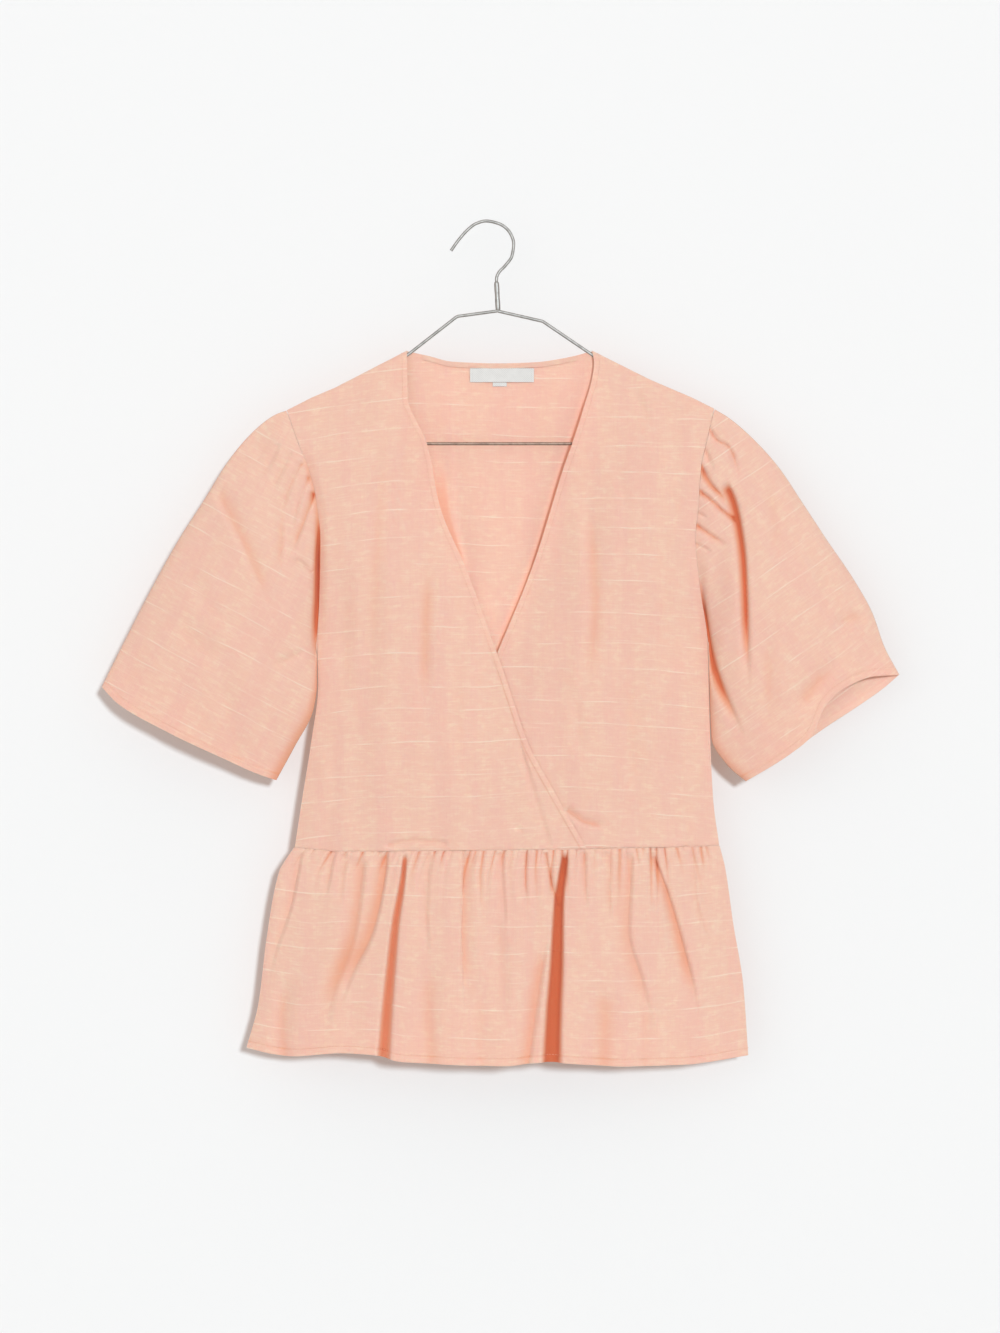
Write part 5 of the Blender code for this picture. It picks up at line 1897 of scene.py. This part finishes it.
@dataclass
class WireHanger:
    """A bare wire hanger: its hook, thicker neck, two arms and lower bar."""

    finishes: Finishes
    wire: float = 2.8
    neck: float = 4.6
    neck_swell: float = 0.35
    corner_radius: float = 7.0
    bar_z: float = -199.0
    corner_left: float = -203.0
    corner_right: float = 228.0
    joint_gap: float = 0.3
    neck_top: WirePoint = WirePoint(9.4, -52.6)
    neck_foot: WirePoint = WirePoint(10.9, -79.9)
    neck_sides: int = 24
    neck_rings: int = 29
    hook: tuple[WirePoint, ...] = table_of(
        WirePoint, (-31.5, -25.2), (-24.2, -15.0), (-15.6, -5.6), (-8.4, -0.6), (0.0, 1.5), (11.5, -0.9),
        (20.9, -8.1), (24.9, -18.9), (23.4, -29.7), (17.6, -38.4), (11.2, -45.4), (9.5, -50.0), (9.4, -53.0))
    left_start: WirePoint = WirePoint(10.9, -79.4)
    left_bend: WirePoint = WirePoint(-26.1, -84.4)
    left_shoulder: WirePoint = WirePoint(-70.2, -118.8)
    right_start: WirePoint = WirePoint(11.1, -79.7)
    right_bend: WirePoint = WirePoint(51.0, -88.8)
    right_shoulder: WirePoint = WirePoint(95.4, -118.9)

    @staticmethod
    def rounded(before: Sequence[float], corner: Sequence[float], after: Sequence[float],
                radius: float, steps: int = 10) -> list[tuple[float, float]]:
        """Points of the arc that rounds a corner of the wire.

        Args:
            before: The point before the corner.
            corner: The corner.
            after: The point after it.
            radius: The bend's radius.
            steps: How many straight steps the arc has.

        Returns:
            The arc's points.
        """
        back, on = (np.subtract(end, corner) / np.linalg.norm(np.subtract(end, corner))
                    for end in (before, after))
        half = math.acos(float(np.clip(back @ on, -1, 1))) / 2
        reach = radius / math.tan(half)
        centre = np.array(corner) + (back + on) / np.linalg.norm(back + on) * radius / math.sin(half)
        start, end = np.array(corner) + back * reach - centre, np.array(corner) + on * reach - centre
        turn = math.pi - 2 * half
        shares = np.linspace(0, 1, steps + 1)[:, None]
        arc = (np.sin((1 - shares) * turn) * start + np.sin(shares * turn) * end) / math.sin(turn)
        return [tuple(point) for point in centre + arc]

    def arm(self, start: WirePoint, bend: WirePoint, shoulder: WirePoint, corner_x: float) -> list:
        """One side of the hanger: out from the neck, down the shoulder and round the corner to the bar.

        Args:
            start: Where it leaves the neck.
            bend: Where it turns down.
            shoulder: Where it meets the shoulder's slope.
            corner_x: The x of its outer corner.

        Returns:
            The wire's points.
        """
        away = math.copysign(1.0, corner_x - start.x)
        corner = (corner_x, self.bar_z)
        route = [tuple(start)]
        route += self.rounded(start, bend, shoulder, self.corner_radius)
        route += self.rounded(bend, shoulder, corner, 3 * self.corner_radius)
        route += self.rounded(shoulder, corner, (start.x, self.bar_z), self.corner_radius)
        route.append((route[-1][0] - away * self.wire, self.bar_z))
        return route

    def neck_tube(self) -> Piece:
        """Makes the smooth sleeve that closes the hanger's neck, rounded at both ends.

        Returns:
            The piece.
        """
        sides = self.neck_sides
        shares = np.linspace(0, 1, self.neck_rings)
        top, foot = np.array(self.neck_top), np.array(self.neck_foot)
        middle = top + (foot - top) * shares[:, None]
        ends = np.sqrt(np.clip(1 - ((np.abs(2 * shares - 1) - 0.86) / 0.14).clip(0) ** 2, 0.12, 1))
        radius = self.neck / 2 * ends - self.neck_swell * np.cos(2 * math.pi * shares) ** 2 / 2
        angles = np.linspace(0, 2 * math.pi, sides, endpoint=False)
        rings = np.stack([middle[:, :1] + radius[:, None] * np.cos(angles),
                          np.tile(radius[:, None], (1, sides)) * np.sin(angles),
                          np.tile(middle[:, 1:], (1, sides))], axis=-1) * MM
        index = np.arange(rings.shape[0] * sides).reshape(-1, sides)
        after = np.roll(index, -1, axis=1)
        faces = np.stack([index[:-1], after[:-1], after[1:], index[1:]], axis=-1).reshape(-1, 4).tolist()
        mesh = bpy.data.meshes.new("neck_sleeve")
        mesh.from_pydata(rings.reshape(-1, 3).tolist(), [], [*faces, index[0].tolist(), index[-1].tolist()])
        return finished("neck_sleeve", mesh, self.finishes.steel, WIRE_SHARP, WELD)

    def tube(self, name: str, route: Sequence[Sequence[float]],
             finish: Material) -> Piece:
        """Makes a round wire along a route.

        Args:
            name: The piece's name.
            route: Points in millimetres from the hook's crown.
            finish: Its finish.

        Returns:
            One mesh object.
        """
        curve = bpy.data.curves.new(name, "CURVE")
        curve.dimensions = "3D"
        curve.bevel_depth = self.wire * MM / 2
        curve.bevel_resolution = 5
        curve.use_fill_caps = True
        spline = curve.splines.new("POLY")
        spline.points.add(len(route) - 1)
        for point, (x, z) in zip(spline.points, route):
            point.co = (x * MM, 0.0, z * MM, 1.0)
        guide = add_object(name + "_guide", curve)
        mesh = plain_mesh(guide)
        bpy.data.objects.remove(guide)
        return finished(name, mesh, finish, WIRE_SHARP, WELD)

    def build(self) -> list[Piece]:
        """Returns:
            The pieces.
        """
        hook = Route(self.hook)(np.linspace(0, 1, 120))
        left = self.arm(self.left_start, self.left_bend, self.left_shoulder, self.corner_left)
        right = self.arm(self.right_start, self.right_bend, self.right_shoulder, self.corner_right)
        gap = self.joint_gap / 2
        bar = [(left[-1][0] + gap, self.bar_z), (right[-1][0] - gap, self.bar_z)]
        steel, shaded = self.finishes.steel, self.finishes.shaded_steel
        plan = (
            (self.tube("hook_wire", hook, steel), "hanger_hook"),
            (self.neck_tube(), "hanger_neck"),
            (self.tube("arm_wire_left", left, steel), "hanger_arm_left"),
            (self.tube("arm_wire_right", right, steel), "hanger_arm_right"),
            # The bar wears the darker copy of the steel, its colour painted shade and painted reflection
            (self.tube("bar_wire", bar, shaded), "hanger_bar"),
        )
        for piece, node in plan:
            declare(piece, node)
            # The photo shows no shadow of the thin wire
            piece.visible_shadow = False
        return [piece for piece, _ in plan]


@dataclass
class Studio:
    """A white wall behind the top, a pale floor, soft light from the upper right and the camera."""

    wall_y: float = 0.036
    wall_top: float = 4.0
    floor_z: float = -1.3
    reach: float = 6.0
    white: float = 0.85
    floor_colour: Colour = (0.78, 0.775, 0.765)
    key_strength: float = 1.905
    key_colour: Colour = (0.826, 0.945, 1.0)
    fill_strength: float = 0.3
    fill_way: tuple[float, float, float] = (0.8, 1.0, -0.1)
    fill_angle: float = 60.0
    fill_colour: Colour = (1.0, 0.96, 0.94)
    key_angle: float = 6.5
    key_way: tuple[float, float, float] = (-0.23, 1.0, -0.18)
    rear_strength: float = 0.22
    rear_way: tuple[float, float, float] = (0.4, -1.0, -0.7)
    rear_angle: float = 25.0
    ambient: float = 0.57
    ambient_colour: Colour = (1.0, 0.88, 0.82)
    backdrop: float = 0.93
    camera_distance: float = 3.5
    frame_height: float = 1.1997
    frame_middle: tuple[float, float] = (0.0126, -0.39945)

    def wall_material(self) -> Material:
        """Builds the wall's white, which only the camera sees and only from the front.

        Returns:
            The material.
        """
        material, tree, shader = surface_material("white_wall", 0.95, 0.0)
        shader.inputs["Base Color"].default_value = (self.white, self.white, self.white, 1.0)
        from_front = tree.maths("SUBTRACT", 1.0, tree.add("ShaderNodeNewGeometry").outputs["Backfacing"])
        seen = tree.maths("MULTIPLY", tree.add("ShaderNodeLightPath").outputs["Is Camera Ray"], from_front)
        mixed = tree.add("ShaderNodeMixShader")
        tree.join(seen, mixed.inputs[0])
        tree.join(tree.add("ShaderNodeBsdfTransparent").outputs[0], mixed.inputs[1])
        tree.join(shader.outputs[0], mixed.inputs[2])
        tree.join(mixed.outputs[0], material.node_tree.nodes["Material Output"].inputs["Surface"])
        return material

    def plane(self, name: str, corners: Sequence[Sequence[float]], material: Material) -> None:
        """Adds a flat piece of the stage.

        Args:
            name: Its name.
            corners: Its corners in order.
            material: Its finish.
        """
        mesh = bpy.data.meshes.new(name)
        mesh.from_pydata([tuple(corner) for corner in corners], [], [(0, 1, 2, 3)])
        mesh.materials.append(material)
        add_object(name, mesh)

    def stage(self) -> None:
        """Builds the wall and the floor."""
        wide, far = self.reach, self.wall_y
        top, low = self.wall_top, self.floor_z
        self.plane("studio_wall", ((-wide, far, low), (wide, far, low), (wide, far, top), (-wide, far, top)),
                   self.wall_material())
        floor, _, shader = surface_material("pale_floor", 0.9, 0.1)
        shader.inputs["Base Color"].default_value = (*self.floor_colour, 1.0)
        self.plane("studio_floor",
                   ((-wide, -wide, low), (wide, -wide, low), (wide, wide, low), (-wide, wide, low)), floor)

    def sun(self, name: str, way: Sequence[float], strength: float, angle: float, colour: Colour) -> None:
        """Adds a soft far light.

        Args:
            name: Its name.
            way: The direction its light goes.
            strength: Its strength.
            angle: How wide it looks, in degrees.
            colour: Its colour.
        """
        lamp = bpy.data.lights.new(name, "SUN")
        lamp.energy = strength
        lamp.angle = math.radians(angle)
        lamp.color = colour
        add_object(name, lamp).rotation_euler = Vector(way).to_track_quat("-Z", "Y").to_euler()

    def world(self) -> None:
        """Sets the even light from all round, and the pale backdrop that the camera sees."""
        world = bpy.data.worlds.new("studio")
        world.use_nodes = True
        tree = Tree(world.node_tree)
        background = world.node_tree.nodes["Background"]
        seen = tree.add("ShaderNodeLightPath").outputs["Is Camera Ray"]
        colour = tree.blend(seen, (*self.ambient_colour, 1.0), (1.0, 1.0, 1.0, 1.0))
        tree.join(colour, background.inputs["Color"])
        tree.join(tree.ramp(seen, 0.0, 1.0, self.ambient, self.backdrop), background.inputs["Strength"])
        bpy.context.scene.world = world

    def camera(self) -> None:
        """Sets the camera square to the wall, as far away as makes the frame fit."""
        camera = bpy.data.cameras.new("camera")
        camera.sensor_width = 36.0
        camera.lens = camera.sensor_width * self.camera_distance / self.frame_height
        camera.clip_end = 50.0
        view = add_object("camera", camera)
        view.location = (self.frame_middle[0], -self.camera_distance, self.frame_middle[1])
        view.rotation_euler = (math.radians(90), 0.0, 0.0)
        bpy.context.scene.camera = view

    def build(self) -> None:
        """Builds the whole studio."""
        bpy.context.scene.view_settings.view_transform = "Standard"
        self.stage()
        self.sun("key", self.key_way, self.key_strength, self.key_angle, self.key_colour)
        self.sun("fill", self.fill_way, self.fill_strength, self.fill_angle, self.fill_colour)
        self.sun("rear", self.rear_way, self.rear_strength, self.rear_angle, (1.0, 1.0, 1.0))
        self.world()
        self.camera()


def build_sleeves(form: BodyForm, finishes: Finishes) -> list[Sleeve]:
    """Describes both sleeves.

    Args:
        form: The bodice's form.
        finishes: The finishes.

    Returns:
        The left and the right sleeve, not built yet.
    """
    mirrored = tuple(replace(crease, route=tuple((-x, drop) for x, drop in crease.route), lean=-crease.lean)
                     for crease in SLEEVE_BACK_CREASES)
    left = Sleeve("sleeve_left_cloth", "sleeve_left", form, finishes, form.left_x, SLEEVE_LEFT_TOP,
                  SLEEVE_LEFT_UNDER, SLEEVE_LEFT_HEM, SLEEVE_LEFT_HEM, SLEEVE_LEFT_CREASES, mirrored,
                  shade=0.42)
    right = Sleeve("sleeve_right_cloth", "sleeve_right", form, finishes, form.right_x, SLEEVE_RIGHT_TOP,
                   SLEEVE_RIGHT_UNDER, SLEEVE_RIGHT_HEM_FRONT, SLEEVE_RIGHT_HEM_BACK, SLEEVE_RIGHT_CREASES,
                   SLEEVE_BACK_CREASES)
    return [left, right]


def main() -> None:
    """Builds the top, its hanger and the studio."""
    logging.basicConfig(level=logging.INFO, format="%(name)s %(message)s")
    for name in ("Cube", "Light", "Camera"):
        if name in bpy.data.objects:
            bpy.data.objects.remove(bpy.data.objects[name])
    Studio().build()
    finishes = Finishes.built()
    form = BodyForm()
    bodice = Bodice(form, finishes)
    bodice.build()
    peplum = Peplum(form, finishes)
    peplum.build()
    lines = [*bodice.stitch_lines.values(), *peplum.stitch_lines.values()]
    for sleeve in build_sleeves(form, finishes):
        sleeve.build()
        lines += sleeve.stitch_lines.values()
    Stitching(finishes.thread).build("hem_stitches", [line for group in lines for line in group], "cotton")
    NeckLabel(bodice, finishes).build()
    WireHanger(finishes).build()


if __name__ == "__main__":
    main()
